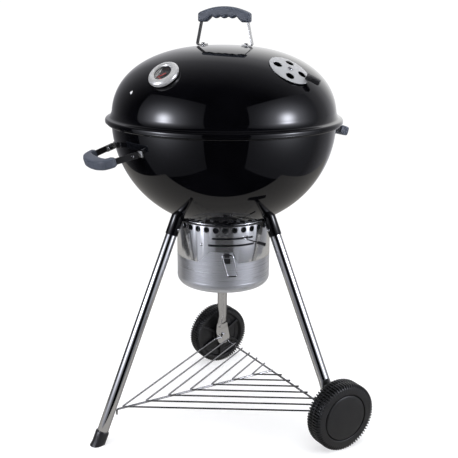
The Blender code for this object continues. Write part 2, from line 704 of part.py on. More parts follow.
def side_grip(name, side):
    """Bowed grip, seen from above as a C whose two short ends point at the bowl."""
    outer = []
    for index in range(13):
        x = -0.0640 + 0.1280 * index / 12
        outer.append((x, -SIDE_GRIP_Y - 0.0315 + 0.0215 * (x / 0.064) ** 2))
    inner = []
    for index in range(9):
        x = 0.0470 - 0.0940 * index / 8
        inner.append((x, -SIDE_GRIP_Y - 0.0065 + 0.0095 * (x / 0.047) ** 2))
    ends = [(0.0650, -SIDE_GRIP_Y + 0.0090), (0.0490, -SIDE_GRIP_Y + 0.0130)]
    outline = outer + ends + inner + [(-x, y) for x, y in reversed(ends)]
    tilt = math.radians(-17.0)
    pivot = Vector((0.0, -SIDE_GRIP_Y, SIDE_GRIP_Z + (REAR_HANDLE_RAISE if side > 0 else 0.0)))
    spot = Matrix.Translation(pivot) @ Matrix.Rotation(-tilt, 4, "X") @ Matrix.Translation(
        Vector((0.0, SIDE_GRIP_Y, 0.0)))
    if side > 0:
        spot = Matrix.Rotation(math.pi, 4, "Z") @ spot
    return plate(name, outline, 0.0225, spot, "grip_plastic", bevel=0.004)


# ----------------------------------------------------------------------------- sleeve and ash pot
def ring_wall(name, outer, inner, low, high, material=None, steps=SLEEVE_STEPS):
    """An upright ring wall between two radii and two heights."""
    profile = ((outer, high), (outer, low), (inner, low), (inner, high))
    return turned(name, profile, material, steps=steps, closed=True)


def tab_prism(grow, top, low):
    """Wedge of the pot's tab seen from outside, grown by a clearance."""
    degrees = 1.3 * math.degrees(grow / SLEEVE_RADIUS)
    sections = []
    for z in (low, SEAM_Z, (SEAM_Z + TAB_TOP) / 2.0, top):
        share = (z - SEAM_Z) / (TAB_TOP - SEAM_Z)
        first = -61.7 + (61.7 - 45.9) * share - degrees
        last = -13.3 - (19.0 - 13.3) * share + degrees
        sections.append(arc_points(0.1215, first, last, 7, z) + list(
            reversed(arc_points(0.1150, first, last, 7, z))))
    return loft("tab_tool", sections, None)


def build_sleeve():
    """Perforated sleeve under the bowl, with two lever slots and the notch for the pot's tab."""
    sleeve = ring_wall("vent_sleeve", SLEEVE_RADIUS, SLEEVE_RADIUS - POT_WALL, SEAM_Z + GAP,
                       SLEEVE_TOP, "polished_aluminium")
    tools = []
    for index in range(VENT_COUNT):
        azimuth = (index + 0.5) * 360.0 / VENT_COUNT
        tools.append(rod("vent_hole", polar(0.110, azimuth, VENT_Z), polar(0.125, azimuth, VENT_Z),
                         VENT_RADIUS, sides=8))
    for low, high, z in ((-43.6, 7.3, LEVER_Z), (-48.6, 9.4, 0.5025)):
        sections = []
        for height in (z - SLOT_HEIGHT / 2.0, z + SLOT_HEIGHT / 2.0):
            sections.append(arc_points(0.125, low, high, 9, height) + list(
                reversed(arc_points(0.110, low, high, 9, height))))
        tools.append(loft("slot_tool", sections, None))
    tools.append(tab_prism(0.0004, TAB_TOP + 0.0004, SEAM_Z - 0.01))
    tools.append(rod("rivet_hole", polar(0.110, -57.0, 0.5025), polar(0.125, -57.0, 0.5025), 0.0022,
                     sides=10))
    combine_all(sleeve, tools, "DIFFERENCE")
    out = polar(1.0, -57.0, 0.0)
    spot = frame_at(polar(SLEEVE_RADIUS, -57.0, 0.5025), out, Vector((0, 0, 1)))
    rivet = ((0.0, 0.0026), (0.0025, 0.0020), (0.0038, 0.0003), (0.0018, 0.0003), (0.0018, -0.0018),
             (0.0034, -0.0018), (0.0034, -0.0030), (0.0, -0.0030))
    turned("sleeve_rivet", rivet, "chrome", spot, steps=8)
    ring = arc_points(RING_RADIUS, 0.0, 360.0 - 10.0, 36, RING_Z)
    wire("sleeve_support_ring", ring, RING_WIRE, "black_steel", closed=True)


def build_ash_pot():
    """Ash pot with a rounded bottom edge, a locating lip and the tab that fills the notch."""
    radius = SLEEVE_RADIUS
    wall = radius - POT_WALL
    bend = 0.020
    outside = [(radius, TAB_TOP)]
    inside = []
    for index in range(5):
        angle = math.radians(-90.0 * index / 4)
        r = radius - bend + bend * math.cos(angle)
        outside.append((r, POT_BOTTOM + bend + bend * math.sin(angle)))
        r = radius - bend + (bend - POT_WALL) * math.cos(angle)
        inside.append((r, POT_BOTTOM + bend + (bend - POT_WALL) * math.sin(angle)))
    lip = wall - 0.0005
    lip_top = SEAM_Z + 0.008
    groove = SEAM_Z - 0.0008
    upper = [(lip - 0.0010, SEAM_Z - 0.003), (lip - 0.0010, lip_top), (lip, lip_top), (lip, groove),
             (wall, groove), (wall, TAB_TOP)]
    middle = [(0.0, POT_BOTTOM), (0.0, POT_BOTTOM + POT_WALL)]
    profile = outside + middle + list(reversed(inside)) + upper
    pot = turned("ash_pot", profile, "satin_aluminium", steps=SLEEVE_STEPS, closed=True)
    waste = ring_wall("waste_wall", radius + 0.006, wall - 0.00025, SEAM_Z, TAB_TOP + 0.01)
    combine(waste, tab_prism(0.0, TAB_TOP, SEAM_Z - 0.01), "DIFFERENCE")
    combine(pot, waste, "DIFFERENCE")


def build_latch():
    """Latch bracket on the pot's tab, its catch plate, and the wire loop that hangs from it."""
    out = polar(1.0, LATCH_AZIMUTH, 0.0)
    aside = polar(1.0, LATCH_AZIMUTH + 90.0, 0.0)
    face = SLEEVE_RADIUS + 0.0005
    spot = frame_at(out * (face + 0.0035) + Vector((0, 0, LATCH_Z)), out, aside)
    block = box("latch_bracket", (0.0125, 0.0100, 0.0070), spot, "black_steel", bevel=0.001)
    bore = spot.translation
    combine(block, rod("bore_tool", bore - aside * 0.02, bore + aside * 0.02, LATCH_BORE, sides=10),
            "DIFFERENCE")
    low = frame_at(out * (face + 0.0014) + Vector((0, 0, LATCH_Z - 0.0155)), out, aside)
    box("latch_catch_plate", (0.0170, 0.0130, 0.0028), low, "black_steel", bevel=0.0008)
    points = []
    for across, drop, away in ((0.0, 0.0, 0.0), (0.0125, 0.0, 0.0), (0.0150, 0.004, 0.0012),
                               (0.0250, 0.049, 0.0040), (0.0215, 0.0525, 0.0042),
                               (0.0045, 0.0525, 0.0042), (0.0005, 0.0495, 0.0040),
                               (-0.0115, 0.004, 0.0012), (-0.0100, 0.0, 0.0)):
        points.append(bore + aside * across - Vector((0, 0, drop)) + out * away)
    wire("latch_loop", points, 0.0016, "chrome", closed=True)


def build_sweeper():
    """Sweeper: three blades inside the bowl, a shaft through its floor, and the lever below."""
    floor = RIM_Z - BOWL_DEPTH + SHELL
    steps = 6
    upper = []
    lower = []
    for index in range(steps):
        r = 0.106 * index / (steps - 1)
        z = RIM_Z - height_at(BOWL_RADIUS - SHELL, BOWL_DEPTH - SHELL, BOWL_POWER, r)
        upper.append((r, z + 0.0030))
        lower.append((r, z + 0.0016))
    blades = turned("sweeper_blades", upper + list(reversed(lower)), "satin_aluminium", steps=24)
    arms = []
    for azimuth in VENT_AZIMUTHS:
        turn = Matrix.Rotation(math.radians(azimuth + 60.0), 4, "Z")
        spot = turn @ Matrix.Translation((0.052, 0, 0.55))
        arms.append(box("arm_tool", (0.112, 0.026, 0.10), spot))
    star = rod("star_tool", (0, 0, 0.50), (0, 0, 0.60), 0.018, sides=18)
    combine_all(star, arms, "UNION")
    combine(blades, star, "INTERSECT")
    combine(blades, rod("hub_hole", (0, 0, 0.52), (0, 0, 0.56), 0.0058, sides=12), "DIFFERENCE")
    shaft = ((0.0, floor + 0.0070), (0.0085, floor + 0.0070), (0.0085, floor + 0.0034),
             (SHAFT_RADIUS, floor + 0.0034), (SHAFT_RADIUS, LEVER_Z + 0.0040), (0.0, LEVER_Z + 0.0040))
    turned("sweeper_shaft", shaft, "plated_steel", steps=14)
    hub = ((0.0, LEVER_Z + 0.0037), (0.0085, LEVER_Z + 0.0037), (0.0085, LEVER_Z - 0.0050),
           (0.0, LEVER_Z - 0.0050))
    lever = turned("sweeper_lever", hub, "chrome", steps=14)
    out = polar(1.0, LEVER_AZIMUTH, 0.0)
    turn = polar(1.0, LEVER_AZIMUTH + 90.0, 0.0)
    base = Vector((0, 0, LEVER_Z))
    path = [base + out * 0.004, base + out * 0.124, base + out * 0.130 + turn * 0.003,
            base + out * 0.146 + turn * LEVER_BEND - Vector((0, 0, 0.006))]
    combine(lever, wire("lever_wire", path, 0.0018), "UNION")
    heading = (path[-1] - path[-2]).normalized()
    rod("sweeper_tip", path[-1] + heading * GAP, path[-1] + heading * 0.022, 0.0036,
        "black_steel", sides=10, end_radius=0.0042)


# ----------------------------------------------------------------------------- legs and wheels
def leg_section(centre, tangent, half_width, half_thick, count=14):
    """Loop of points across a wheel leg, its thickness along X where the leg is flattened."""
    width_axis = tangent.cross(Vector((1.0, 0.0, 0.0))).normalized()
    thick_axis = width_axis.cross(tangent).normalized()
    loop = []
    for index in range(count):
        angle = 2.0 * math.pi * index / count
        loop.append(centre + width_axis * half_width * math.cos(angle)
                    + thick_axis * half_thick * math.sin(angle))
    return loop


def wheel_leg(label):
    """Wheel leg: a round tube whose lower end is flattened for the axle pin."""
    azimuth = WHEEL_AZIMUTHS[label]
    sign = 1.0 if label == "right" else -1.0
    stations = ((LEG_TOP_Z, None, LEG_RADIUS, LEG_RADIUS), (0.165, None, LEG_RADIUS, LEG_RADIUS),
                (0.145, None, 0.0165, 0.0105), (0.125, 0.2692, 0.0195, 0.0055),
                (0.111, 0.2733, 0.0208, PADDLE_HALF + 0.0008), (0.100, PADDLE_X, 0.021, PADDLE_HALF),
                (0.078, PADDLE_X, 0.021, PADDLE_HALF), (0.069, PADDLE_X, 0.0175, PADDLE_HALF),
                (0.064, PADDLE_X, 0.0105, PADDLE_HALF))
    centres = []
    for z, x, _, _ in stations:
        centre = leg_point(azimuth, z)
        if x is not None:
            centre.x = sign * x
        centres.append(centre)
    sections = []
    for index, (_, _, half_width, half_thick) in enumerate(stations):
        before = centres[max(index - 1, 0)]
        after = centres[min(index + 1, len(centres) - 1)]
        tangent = (before - after).normalized()
        sections.append(leg_section(centres[index], tangent, half_width, half_thick))
    leg = loft("leg_" + label, sections, "chrome")
    bore = rod("leg_bore", leg_point(azimuth, 0.168), leg_point(azimuth, LEG_TOP_Z + 0.02),
               LEG_RADIUS - TUBE_WALL, sides=14)
    combine(leg, bore, "DIFFERENCE")
    axle = axle_centre(label)
    across = Vector((0.02, 0.0, 0.0))
    hole = rod("axle_hole", Vector((sign * PADDLE_X, axle.y, axle.z)) - across,
               Vector((sign * PADDLE_X, axle.y, axle.z)) + across, AXLE_RADIUS + GAP, sides=12)
    combine(leg, hole, "DIFFERENCE")


def axle_centre(label):
    """Middle of a wheel."""
    sign = 1.0 if label == "right" else -1.0
    return Vector((sign * WHEEL_X, leg_point(WHEEL_AZIMUTHS["right"], WHEEL_RADIUS).y, WHEEL_RADIUS))


def foot_leg():
    """Foot leg, a plain tube, and the plastic cap it stands on."""
    low_z = 0.0098
    spot = leg_frame(FOOT_AZIMUTH, low_z)
    length = (leg_point(FOOT_AZIMUTH, LEG_TOP_Z) - leg_point(FOOT_AZIMUTH, low_z)).length
    profile = ((LEG_RADIUS, length), (LEG_RADIUS, 0.0), (LEG_RADIUS - TUBE_WALL, 0.0),
               (LEG_RADIUS - TUBE_WALL, length))
    turned("leg_foot", profile, "chrome", spot, steps=16, closed=True)
    cap = rod("foot_cap", leg_point(FOOT_AZIMUTH, -0.012), leg_point(FOOT_AZIMUTH, 0.033), 0.0170,
              "black_steel", sides=20)
    bore = rod("cap_bore", leg_point(FOOT_AZIMUTH, low_z - GAP), leg_point(FOOT_AZIMUTH, 0.05),
               LEG_RADIUS + GAP, sides=16)
    combine(cap, bore, "DIFFERENCE")
    ground = box("ground_tool", (0.2, 0.2, 0.1), Matrix.Translation((0.0, -0.36, -0.05)))
    combine(cap, ground, "DIFFERENCE")


def build_sockets():
    """Leg sockets under the bowl, cut to it, to the sleeve and round the support ring."""
    places = (("foot", FOOT_AZIMUTH), ("right", WHEEL_AZIMUTHS["right"]),
              ("left", WHEEL_AZIMUTHS["left"]))
    for label, azimuth in places:
        low = leg_frame(azimuth, SOCKET_LOW_Z)
        length = 0.075
        profile = ((SOCKET_RADIUS, length), (SOCKET_RADIUS, 0.0), (SOCKET_BORE, 0.0),
                   (SOCKET_BORE, length))
        socket = turned("leg_socket_" + label, profile, "black_enamel", low, steps=16, closed=True)
        limit = [(0.0, RIM_Z)] + bowl_outline(GAP)
        combine(socket, turned("bowl_limit", limit), "DIFFERENCE")
        clear = ring_wall("sleeve_limit", SLEEVE_RADIUS + GAP, 0.05, 0.45, 0.60)
        combine(socket, clear, "DIFFERENCE")
        groove = wire("ring_limit", arc_points(RING_RADIUS, 0.0, 350.0, 36, RING_Z),
                      RING_WIRE + GAP, closed=True)
        combine(socket, groove, "DIFFERENCE")
        spot = leg_frame(azimuth, 0.5335)
        inward = -polar(1.0, azimuth, 0.0)
        aside = polar(1.0, azimuth + 90.0, 0.0)
        out = (inward * 0.35 + aside * (1.0 if label == "foot" else -1.0)).normalized()
        head = ((0.0, 0.0030), (0.0026, 0.0026), (0.0042, 0.0010), (0.0042, 0.0002), (0.0, 0.0002))
        turned("socket_screw_" + label, head, "chrome",
               frame_at(spot.translation + out * (SOCKET_RADIUS + SCREW_STAND), out, Vector((0, 0, 1))),
               steps=8)


def build_wheels():
    """Two moulded wheels with their hubcaps, each on an axle pin through its leg."""
    bore = AXLE_RADIUS + AXLE_CLEARANCE
    for label, sign in (("right", 1.0), ("left", -1.0)):
        centre = axle_centre(label)
        spot = frame_at(centre, Vector((sign, 0.0, 0.0)), Vector((0.0, 0.0, 1.0)))
        profile = [(bore, 0.0140)] + list(WHEEL_PROFILE) + [(bore, -0.0308)]
        turned("wheel_" + label, profile, "wheel_plastic", spot, steps=28, closed=True)
        turned("hubcap_" + label, HUBCAP_PROFILE, "wheel_plastic", spot, steps=28)
        inner = PADDLE_X - PADDLE_HALF - WHEEL_X - GAP
        pin = ((0.0, 0.0172), (0.0088, 0.0172), (0.0088, 0.0144), (AXLE_RADIUS, 0.0144),
               (AXLE_RADIUS, inner), (0.0088, inner), (0.0088, inner - 0.0055),
               (0.0, inner - 0.0055))
        turned("axle_pin_" + label, pin, "chrome", spot, steps=12)


# ----------------------------------------------------------------------------- rack and grates
def build_rack():
    """Triangular wire rack: seven nested arms welded on a spine and a crossbar."""
    low_z = RACK_Z - RACK_WIRE - RACK_BAR + 0.0013
    spine_end = leg_point(FOOT_AZIMUTH, RACK_Z).y + LEG_RADIUS / math.cos(math.atan(LEG_SLOPE)) + 0.003
    spine = wire("bottom_rack", [(0, RACK_BAR_Y + 0.003, low_z), (0, spine_end, low_z),
                                 (0, spine_end - 0.0005, low_z - 0.014)], RACK_BAR, "chrome")
    half = 6 * RACK_PITCH_X
    tools = [wire("crossbar", [(-half, RACK_BAR_Y, low_z), (half, RACK_BAR_Y, low_z)], RACK_BAR)]
    slope = RACK_PITCH_X / RACK_PITCH_Y
    for order in range(1, 7):
        apex_y = RACK_BAR_Y - order * RACK_PITCH_Y
        end_y = RACK_BAR_Y + 0.005
        end_x = (end_y - apex_y) * slope
        nose = 0.0035
        points = [(-end_x, end_y, RACK_Z), (-nose, apex_y + nose, RACK_Z), (0, apex_y, RACK_Z),
                  (nose, apex_y + nose, RACK_Z), (end_x, end_y, RACK_Z)]
        tools.append(wire("arm_%d" % order, points, RACK_WIRE))
    apex_y = RACK_BAR_Y - 7 * RACK_PITCH_Y
    side_x = PADDLE_X - PADDLE_HALF - RACK_WIRE - 0.004
    side_y = apex_y + side_x / slope
    outer = [(-side_x, 0.1480, RACK_Z), (-side_x, side_y, RACK_Z), (-0.0035, apex_y + 0.0035, RACK_Z),
             (0, apex_y, RACK_Z), (0.0035, apex_y + 0.0035, RACK_Z), (side_x, side_y, RACK_Z),
             (side_x, 0.1480, RACK_Z)]
    tools.append(wire("arm_7", outer, RACK_WIRE))
    combine_all(spine, tools, "UNION")


def round_grate(name, radius, z, bars, pitch, material):
    """Round wire grate: a ring, parallel bars lying on it and two cross wires under them."""
    frame_wire = 0.0030
    bar_wire = 0.0021
    ring = wire(name, arc_points(radius, 0.0, 348.75, 32, z), frame_wire, material, closed=True)
    tools = []
    for index in range(bars):
        x = (index - (bars - 1) / 2.0) * pitch
        reach = math.sqrt(radius ** 2 - x ** 2)
        tools.append(wire("bar", [(x, -reach, z + 0.0025), (x, reach, z + 0.0025)], bar_wire,
                          resolution=0))
    for y in (-0.42 * radius, 0.42 * radius):
        reach = math.sqrt(radius ** 2 - y ** 2)
        tools.append(wire("cross", [(-reach, y, z - 0.0008), (reach, y, z - 0.0008)],
                          bar_wire, resolution=0))
    combine_all(ring, tools, "UNION")


def build_grates():
    """Cooking grate near the rim and charcoal grate low in the bowl."""
    round_grate("cooking_grate", GRATE_RADIUS, GRATE_Z, 13, 0.038, "plated_steel")
    round_grate("charcoal_grate", COAL_GRATE_RADIUS, COAL_GRATE_Z, 9, 0.044, "plated_steel")


# ----------------------------------------------------------------------------- assembly
build_bowl()
build_lid()
build_lid_handle()
build_damper()
build_thermometer()
build_lid_hook()
build_side_handles()
build_sleeve()
build_ash_pot()
build_latch()
build_sweeper()
foot_leg()
for wheel_side in WHEEL_AZIMUTHS:
    wheel_leg(wheel_side)
build_sockets()
build_wheels()
build_rack()
build_grates()
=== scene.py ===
"""Looks of a kettle charcoal grill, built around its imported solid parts.

Lengths are in metres and +Z is up.  The origin is on the kettle's own axis at floor level, the foot leg
stands towards -Y and the wheels turn about lines parallel to X.  Each sub-assembly is a class whose
fields are its sizes, and each finish is a small frozen class that builds one node material.
"""

import logging
import math
from dataclasses import dataclass
from enum import Enum
from typing import Dict, List, Optional, Sequence, Tuple

import bpy
import numpy as np
from mathutils import Matrix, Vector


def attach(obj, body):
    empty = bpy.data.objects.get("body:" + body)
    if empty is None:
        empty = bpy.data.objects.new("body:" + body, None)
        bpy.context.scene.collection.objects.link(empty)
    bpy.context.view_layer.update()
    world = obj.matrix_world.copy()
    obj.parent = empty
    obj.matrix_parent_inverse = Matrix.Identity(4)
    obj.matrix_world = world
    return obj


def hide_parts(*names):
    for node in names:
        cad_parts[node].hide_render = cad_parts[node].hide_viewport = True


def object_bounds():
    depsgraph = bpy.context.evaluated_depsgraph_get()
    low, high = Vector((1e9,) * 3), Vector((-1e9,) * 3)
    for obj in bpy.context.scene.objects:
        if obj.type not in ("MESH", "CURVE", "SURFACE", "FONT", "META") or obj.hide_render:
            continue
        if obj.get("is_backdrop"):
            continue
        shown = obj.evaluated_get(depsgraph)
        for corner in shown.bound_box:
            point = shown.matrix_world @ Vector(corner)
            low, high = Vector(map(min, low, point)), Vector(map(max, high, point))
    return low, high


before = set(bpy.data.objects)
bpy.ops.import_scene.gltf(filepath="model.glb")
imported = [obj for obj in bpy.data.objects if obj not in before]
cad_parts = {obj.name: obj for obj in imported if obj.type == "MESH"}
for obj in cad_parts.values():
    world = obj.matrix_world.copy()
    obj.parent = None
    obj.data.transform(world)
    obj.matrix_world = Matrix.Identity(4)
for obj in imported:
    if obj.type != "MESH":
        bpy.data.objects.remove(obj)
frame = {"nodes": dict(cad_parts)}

LOG = logging.getLogger("kettle")

Array = np.ndarray
Pair = Tuple[float, float]
Triple = Tuple[float, float, float]

RIM_Z = 0.797
WHEEL_AZIMUTHS: Dict[str, float] = {"right": 29.5, "left": 150.5}
FOOT_AZIMUTH = -90.0
UP: Triple = (0.0, 0.0, 1.0)
DAMPER_AT: Pair = (15.6, 0.2072)
THERMOMETER_AT: Pair = (-66.1, 0.2258)
HANDLE_AZIMUTH = 40.0
HANDLE_FOOT = 0.055
SHARP = math.radians(38.0)


# --------------------------------------------------------------------------- shapes
@dataclass(frozen=True)
class Shape:
    """Points with the four-sided and three-sided faces between them."""

    points: Array
    quads: Array
    triangles: Array

    def placed(self, matrix: Array) -> "Shape":
        """The same shape carried by a 4x4 matrix: new point = rotation times point, plus shift."""
        return Shape(self.points @ matrix[:3, :3].T + matrix[:3, 3], self.quads, self.triangles)

    def outward(self) -> "Shape":
        """The shape with its faces looking out.

        The volume is the sum over triangles of a . (b x c) / 6, and it is negative when the faces
        look inwards, in which case every face is read backwards.
        """
        corners = np.vstack([self.quads[:, [0, 1, 2]], self.quads[:, [0, 2, 3]], self.triangles])
        middle = self.points.mean(axis=0)
        a, b, c = (self.points[corners[:, k]] - middle for k in range(3))
        if np.einsum("ij,ij->", a, np.cross(b, c)) < 0.0:
            return Shape(self.points, self.quads[:, ::-1], self.triangles[:, ::-1])
        return self


def together(shapes: Sequence[Shape]) -> Shape:
    """One shape that holds several, each one's faces counted on from the points before it.

    Args:
        shapes: the shapes to hold together.

    Returns:
        The combined shape.
    """
    starts = np.cumsum([0] + [len(shape.points) for shape in shapes[:-1]])
    return Shape(np.vstack([shape.points for shape in shapes]),
                 np.vstack([shape.quads + start for shape, start in zip(shapes, starts)]),
                 np.vstack([shape.triangles + start for shape, start in zip(shapes, starts)]))


def skin(grid: Array, closed: bool = False, ends: Tuple[Optional[Array], Optional[Array]] = (None, None),
         caps: bool = True) -> Shape:
    """Closed surface over a grid whose second direction runs round.

    Point (i, j) joins (i + 1, j) and (i, j + 1), with j counted round the loop.  Each open end is a
    fan from a centre, which is the loop's mean unless a centre is given.

    Args:
        grid: points of shape (rows, columns, 3).
        closed: whether the last row joins the first.
        ends: centres of the first and last fan.
        caps: whether open ends are closed.

    Returns:
        The surface, looking outwards.
    """
    rows, columns = grid.shape[:2]
    index = np.arange(rows * columns).reshape(rows, columns)
    low = index if closed else index[:-1]
    high = np.roll(index, -1, axis=0) if closed else index[1:]
    quads = np.stack([low, np.roll(low, -1, 1), np.roll(high, -1, 1), high], axis=-1).reshape(-1, 4)
    points = grid.reshape(-1, 3)
    fans = np.empty((0, 3), int)
    if caps and not closed:
        centres = [loop.mean(axis=0) if end is None else end for loop, end in zip(grid[[0, -1]], ends)]
        first, last = len(points), len(points) + 1
        points = np.vstack([points, centres])
        near = np.stack([np.roll(index[0], -1), index[0], np.full(columns, first)], axis=-1)
        far = np.stack([index[-1], np.roll(index[-1], -1), np.full(columns, last)], axis=-1)
        fans = np.vstack([near, far])
    return Shape(points, quads, fans).outward()


def slab(outer: Array, inner: Array) -> Shape:
    """Closed plate between two open grids of the same size.

    Each row runs along the outer grid and back along the inner one, and strips between matching
    points close the first and last rows.

    Args:
        outer: points (rows, columns, 3) of one face.
        inner: points of the other face.

    Returns:
        The plate, looking outwards.
    """
    grid = np.concatenate([outer, inner[:, ::-1]], axis=1)
    columns = outer.shape[1]
    body = skin(grid, caps=False)
    ahead = np.arange(columns - 1)
    strip = np.stack([ahead, 2 * columns - 1 - ahead, 2 * columns - 2 - ahead, ahead + 1], axis=-1)
    last = (grid.shape[0] - 1) * 2 * columns
    return weld_facing(Shape(grid.reshape(-1, 3), np.vstack([body.quads, strip, strip[:, ::-1] + last]),
                             np.empty((0, 3), int)), body)


def weld_facing(whole: Shape, body: Shape) -> Shape:
    """Turn the two end strips to agree with the body when the body was read backwards.

    Args:
        whole: body faces followed by the two strips.
        body: the body's faces alone, after they were turned outwards.

    Returns:
        The whole shape with every face looking the same way.
    """
    count = len(body.quads)
    columns = whole.quads[count][1] + 1
    first = body.quads[0]
    forward = (first[1] - first[0]) % columns == 1
    strips = whole.quads[count:] if forward else whole.quads[count:][:, ::-1]
    return Shape(whole.points, np.vstack([body.quads, strips]), whole.triangles).outward()


def softened(points: Sequence[Sequence[float]], radius: float, closed: bool = False, steps: int = 5) -> Array:
    """A line with its corners rounded.

    Each corner P becomes the curve (1-t)^2 A + 2t(1-t) P + t^2 B, where A and B lie on the two edges
    at the radius, or at 45% of the edge if that is nearer.

    Args:
        points: corners of the line.
        radius: distance from a corner at which its curve starts.
        closed: whether the line is a loop.
        steps: points on each curve.

    Returns:
        The rounded line's points.
    """
    line = np.asarray(points, float)
    middle = line if closed else line[1:-1]
    before = np.roll(line, 1, 0) if closed else line[:-2]
    after = np.roll(line, -1, 0) if closed else line[2:]
    to_before, to_after = before - middle, after - middle
    length_before = np.linalg.norm(to_before, axis=1, keepdims=True)
    length_after = np.linalg.norm(to_after, axis=1, keepdims=True)
    cut = np.minimum(radius, 0.45 * np.minimum(length_before, length_after))
    a = (middle + to_before / length_before * cut)[:, None]
    b = (middle + to_after / length_after * cut)[:, None]
    t = np.linspace(0.0, 1.0, steps)[None, :, None]
    curves = (1 - t) ** 2 * a + 2 * t * (1 - t) * middle[:, None] + t ** 2 * b
    curves = curves.reshape(-1, line.shape[1])
    return curves if closed else np.vstack([line[:1], curves, line[-1:]])


def revolved(profile: Array, steps: int = 64, closed: bool = False) -> Shape:
    """Profile (r, z) turned about Z: x = r cos t, y = r sin t.

    Args:
        profile: points of the profile; an open one starts and ends on the axis.
        steps: columns round the axis.
        closed: whether the profile is a loop clear of the axis.

    Returns:
        The turned surface.
    """
    line = np.asarray(profile, float)
    ends: Tuple[Optional[Array], Optional[Array]] = (None, None)
    if not closed:
        ends = (np.array([0.0, 0.0, line[0, 1]]), np.array([0.0, 0.0, line[-1, 1]]))
        line = line[1:-1]
    t = np.linspace(0.0, 2.0 * np.pi, steps, endpoint=False)[None, :]
    r, z = line[:, :1], line[:, 1:]
    grid = np.stack([r * np.cos(t), r * np.sin(t), z + 0.0 * t], axis=-1)
    return skin(grid, closed=closed, ends=ends)


def ring_section(half_width: float, half_height: float, power: float = 2.0, count: int = 24) -> Array:
    """Loop |x / a|^n + |y / b|^n = 1 as x = a sgn(cos t)|cos t|^(2/n), and y alike with sin.

    Args:
        half_width: a.
        half_height: b.
        power: n, where 2 is an ellipse and more is squarer.
        count: points round the loop.

    Returns:
        Points (count, 2).
    """
    t = np.linspace(0.0, 2.0 * np.pi, count, endpoint=False)
    c, s = np.cos(t), np.sin(t)
    return np.stack([half_width * np.sign(c) * np.abs(c) ** (2.0 / power),
                     half_height * np.sign(s) * np.abs(s) ** (2.0 / power)], axis=-1)


def carried(path: Array, section: Array, hint: Sequence[float] = UP, closed: bool = False,
            scale: Optional[Array] = None) -> Shape:
    """Section carried along a path.

    At each station the side is hint x tangent and the rise is tangent x side, both of length one, and
    a section point (a, b) stands at path + a side + b rise.

    Args:
        path: stations (rows, 3).
        section: loop (columns, 2), or one for each station (rows, columns, 2).
        hint: direction that is never along the path.
        closed: whether the path is a loop.
        scale: factor for each station.

    Returns:
        The carried surface.
    """
    line = np.asarray(path, float)
    if closed:
        tangent = np.roll(line, -1, 0) - np.roll(line, 1, 0)
    else:
        tangent = np.gradient(line, axis=0)
    tangent /= np.linalg.norm(tangent, axis=1, keepdims=True)
    side = np.cross(np.asarray(hint, float), tangent)
    side /= np.linalg.norm(side, axis=1, keepdims=True)
    rise = np.cross(tangent, side)
    loops = section if section.ndim == 3 else np.repeat(section[None], len(line), axis=0)
    if scale is not None:
        loops = loops * scale[:, None, None]
    grid = line[:, None] + loops[..., :1] * side[:, None] + loops[..., 1:] * rise[:, None]
    return skin(grid, closed=closed)


def rod(path: Sequence[Sequence[float]], radius: float, bend: float = 0.0, hint: Sequence[float] = UP,
        closed: bool = False, sides: int = 12) -> Shape:
    """Round wire through corners, with its bends rounded by the given distance."""
    line = softened(path, bend, closed) if bend > 0.0 else np.asarray(path, float)
    return carried(line, ring_section(radius, radius, count=sides), hint, closed)


def box(size: Triple, bevel: float) -> Shape:
    """Block centred on the origin with its edges rounded.

    Its outline is a rectangle with rounded corners, carried up Z and drawn in near both ends by
    bevel * (1 - sqrt(1 - s^2)), a quarter circle.

    Args:
        size: length along X, Y and Z.
        bevel: radius of the edges.

    Returns:
        The block.
    """
    x, y, z = (value / 2.0 for value in size)
    s = np.linspace(1.0, 0.0, 4)
    inset = np.concatenate([bevel * (1 - np.sqrt(1 - s ** 2)), bevel * (1 - np.sqrt(1 - s[::-1] ** 2))])
    height = np.concatenate([-z + bevel * (1 - s), z - bevel * (1 - s[::-1])])
    outline = softened([(-x, -y), (x, -y), (x, y), (-x, y)], 2.0 * bevel, closed=True)
    keep = np.sign(outline) * np.maximum(np.abs(outline)[None] - inset[:, None, None], 1e-5)
    grid = np.concatenate([keep, np.broadcast_to(height[:, None, None], keep.shape[:2] + (1,))], axis=-1)
    return skin(grid)


def arc(radius: float, low: float, high: float, count: int, z: float) -> Array:
    """Points on a level arc about Z between two azimuths in degrees."""
    t = np.radians(np.linspace(low, high, count))
    return np.stack([radius * np.cos(t), radius * np.sin(t), np.full(count, z)], axis=-1)


# --------------------------------------------------------------------------- places
def toward(azimuth: float, radius: float = 1.0, z: float = 0.0) -> Array:
    """Point at a distance from the Z axis in a direction given in degrees."""
    t = math.radians(azimuth)
    return np.array([radius * math.cos(t), radius * math.sin(t), z])


def unit(vector: Array) -> Array:
    """The vector divided by its length."""
    return vector / np.linalg.norm(vector)


def seat(origin: Array, normal: Array, along: Array) -> Array:
    """Frame at a point: Z is the normal, Y is Z x along, and X is Y x Z.

    Args:
        origin: place of the frame.
        normal: direction of its Z.
        along: direction that its X is nearest to.

    Returns:
        A 4x4 matrix.
    """
    z_axis = unit(np.asarray(normal, float))
    y_axis = unit(np.cross(z_axis, along))
    matrix = np.eye(4)
    matrix[:3, :3] = np.stack([np.cross(y_axis, z_axis), y_axis, z_axis], axis=-1)
    matrix[:3, 3] = origin
    return matrix


def shifted(matrix: Array, x: float = 0.0, y: float = 0.0, z: float = 0.0) -> Array:
    """The frame moved along its own axes."""
    step = np.eye(4)
    step[:3, 3] = (x, y, z)
    return matrix @ step


def spun(matrix: Array, degrees: float) -> Array:
    """The frame turned about its own Z."""
    return matrix @ np.array(Matrix.Rotation(math.radians(degrees), 4, "Z"))


def about_axis(degrees: float) -> Array:
    """Frame at the origin, turned about the grill's own axis."""
    return spun(np.eye(4), degrees)


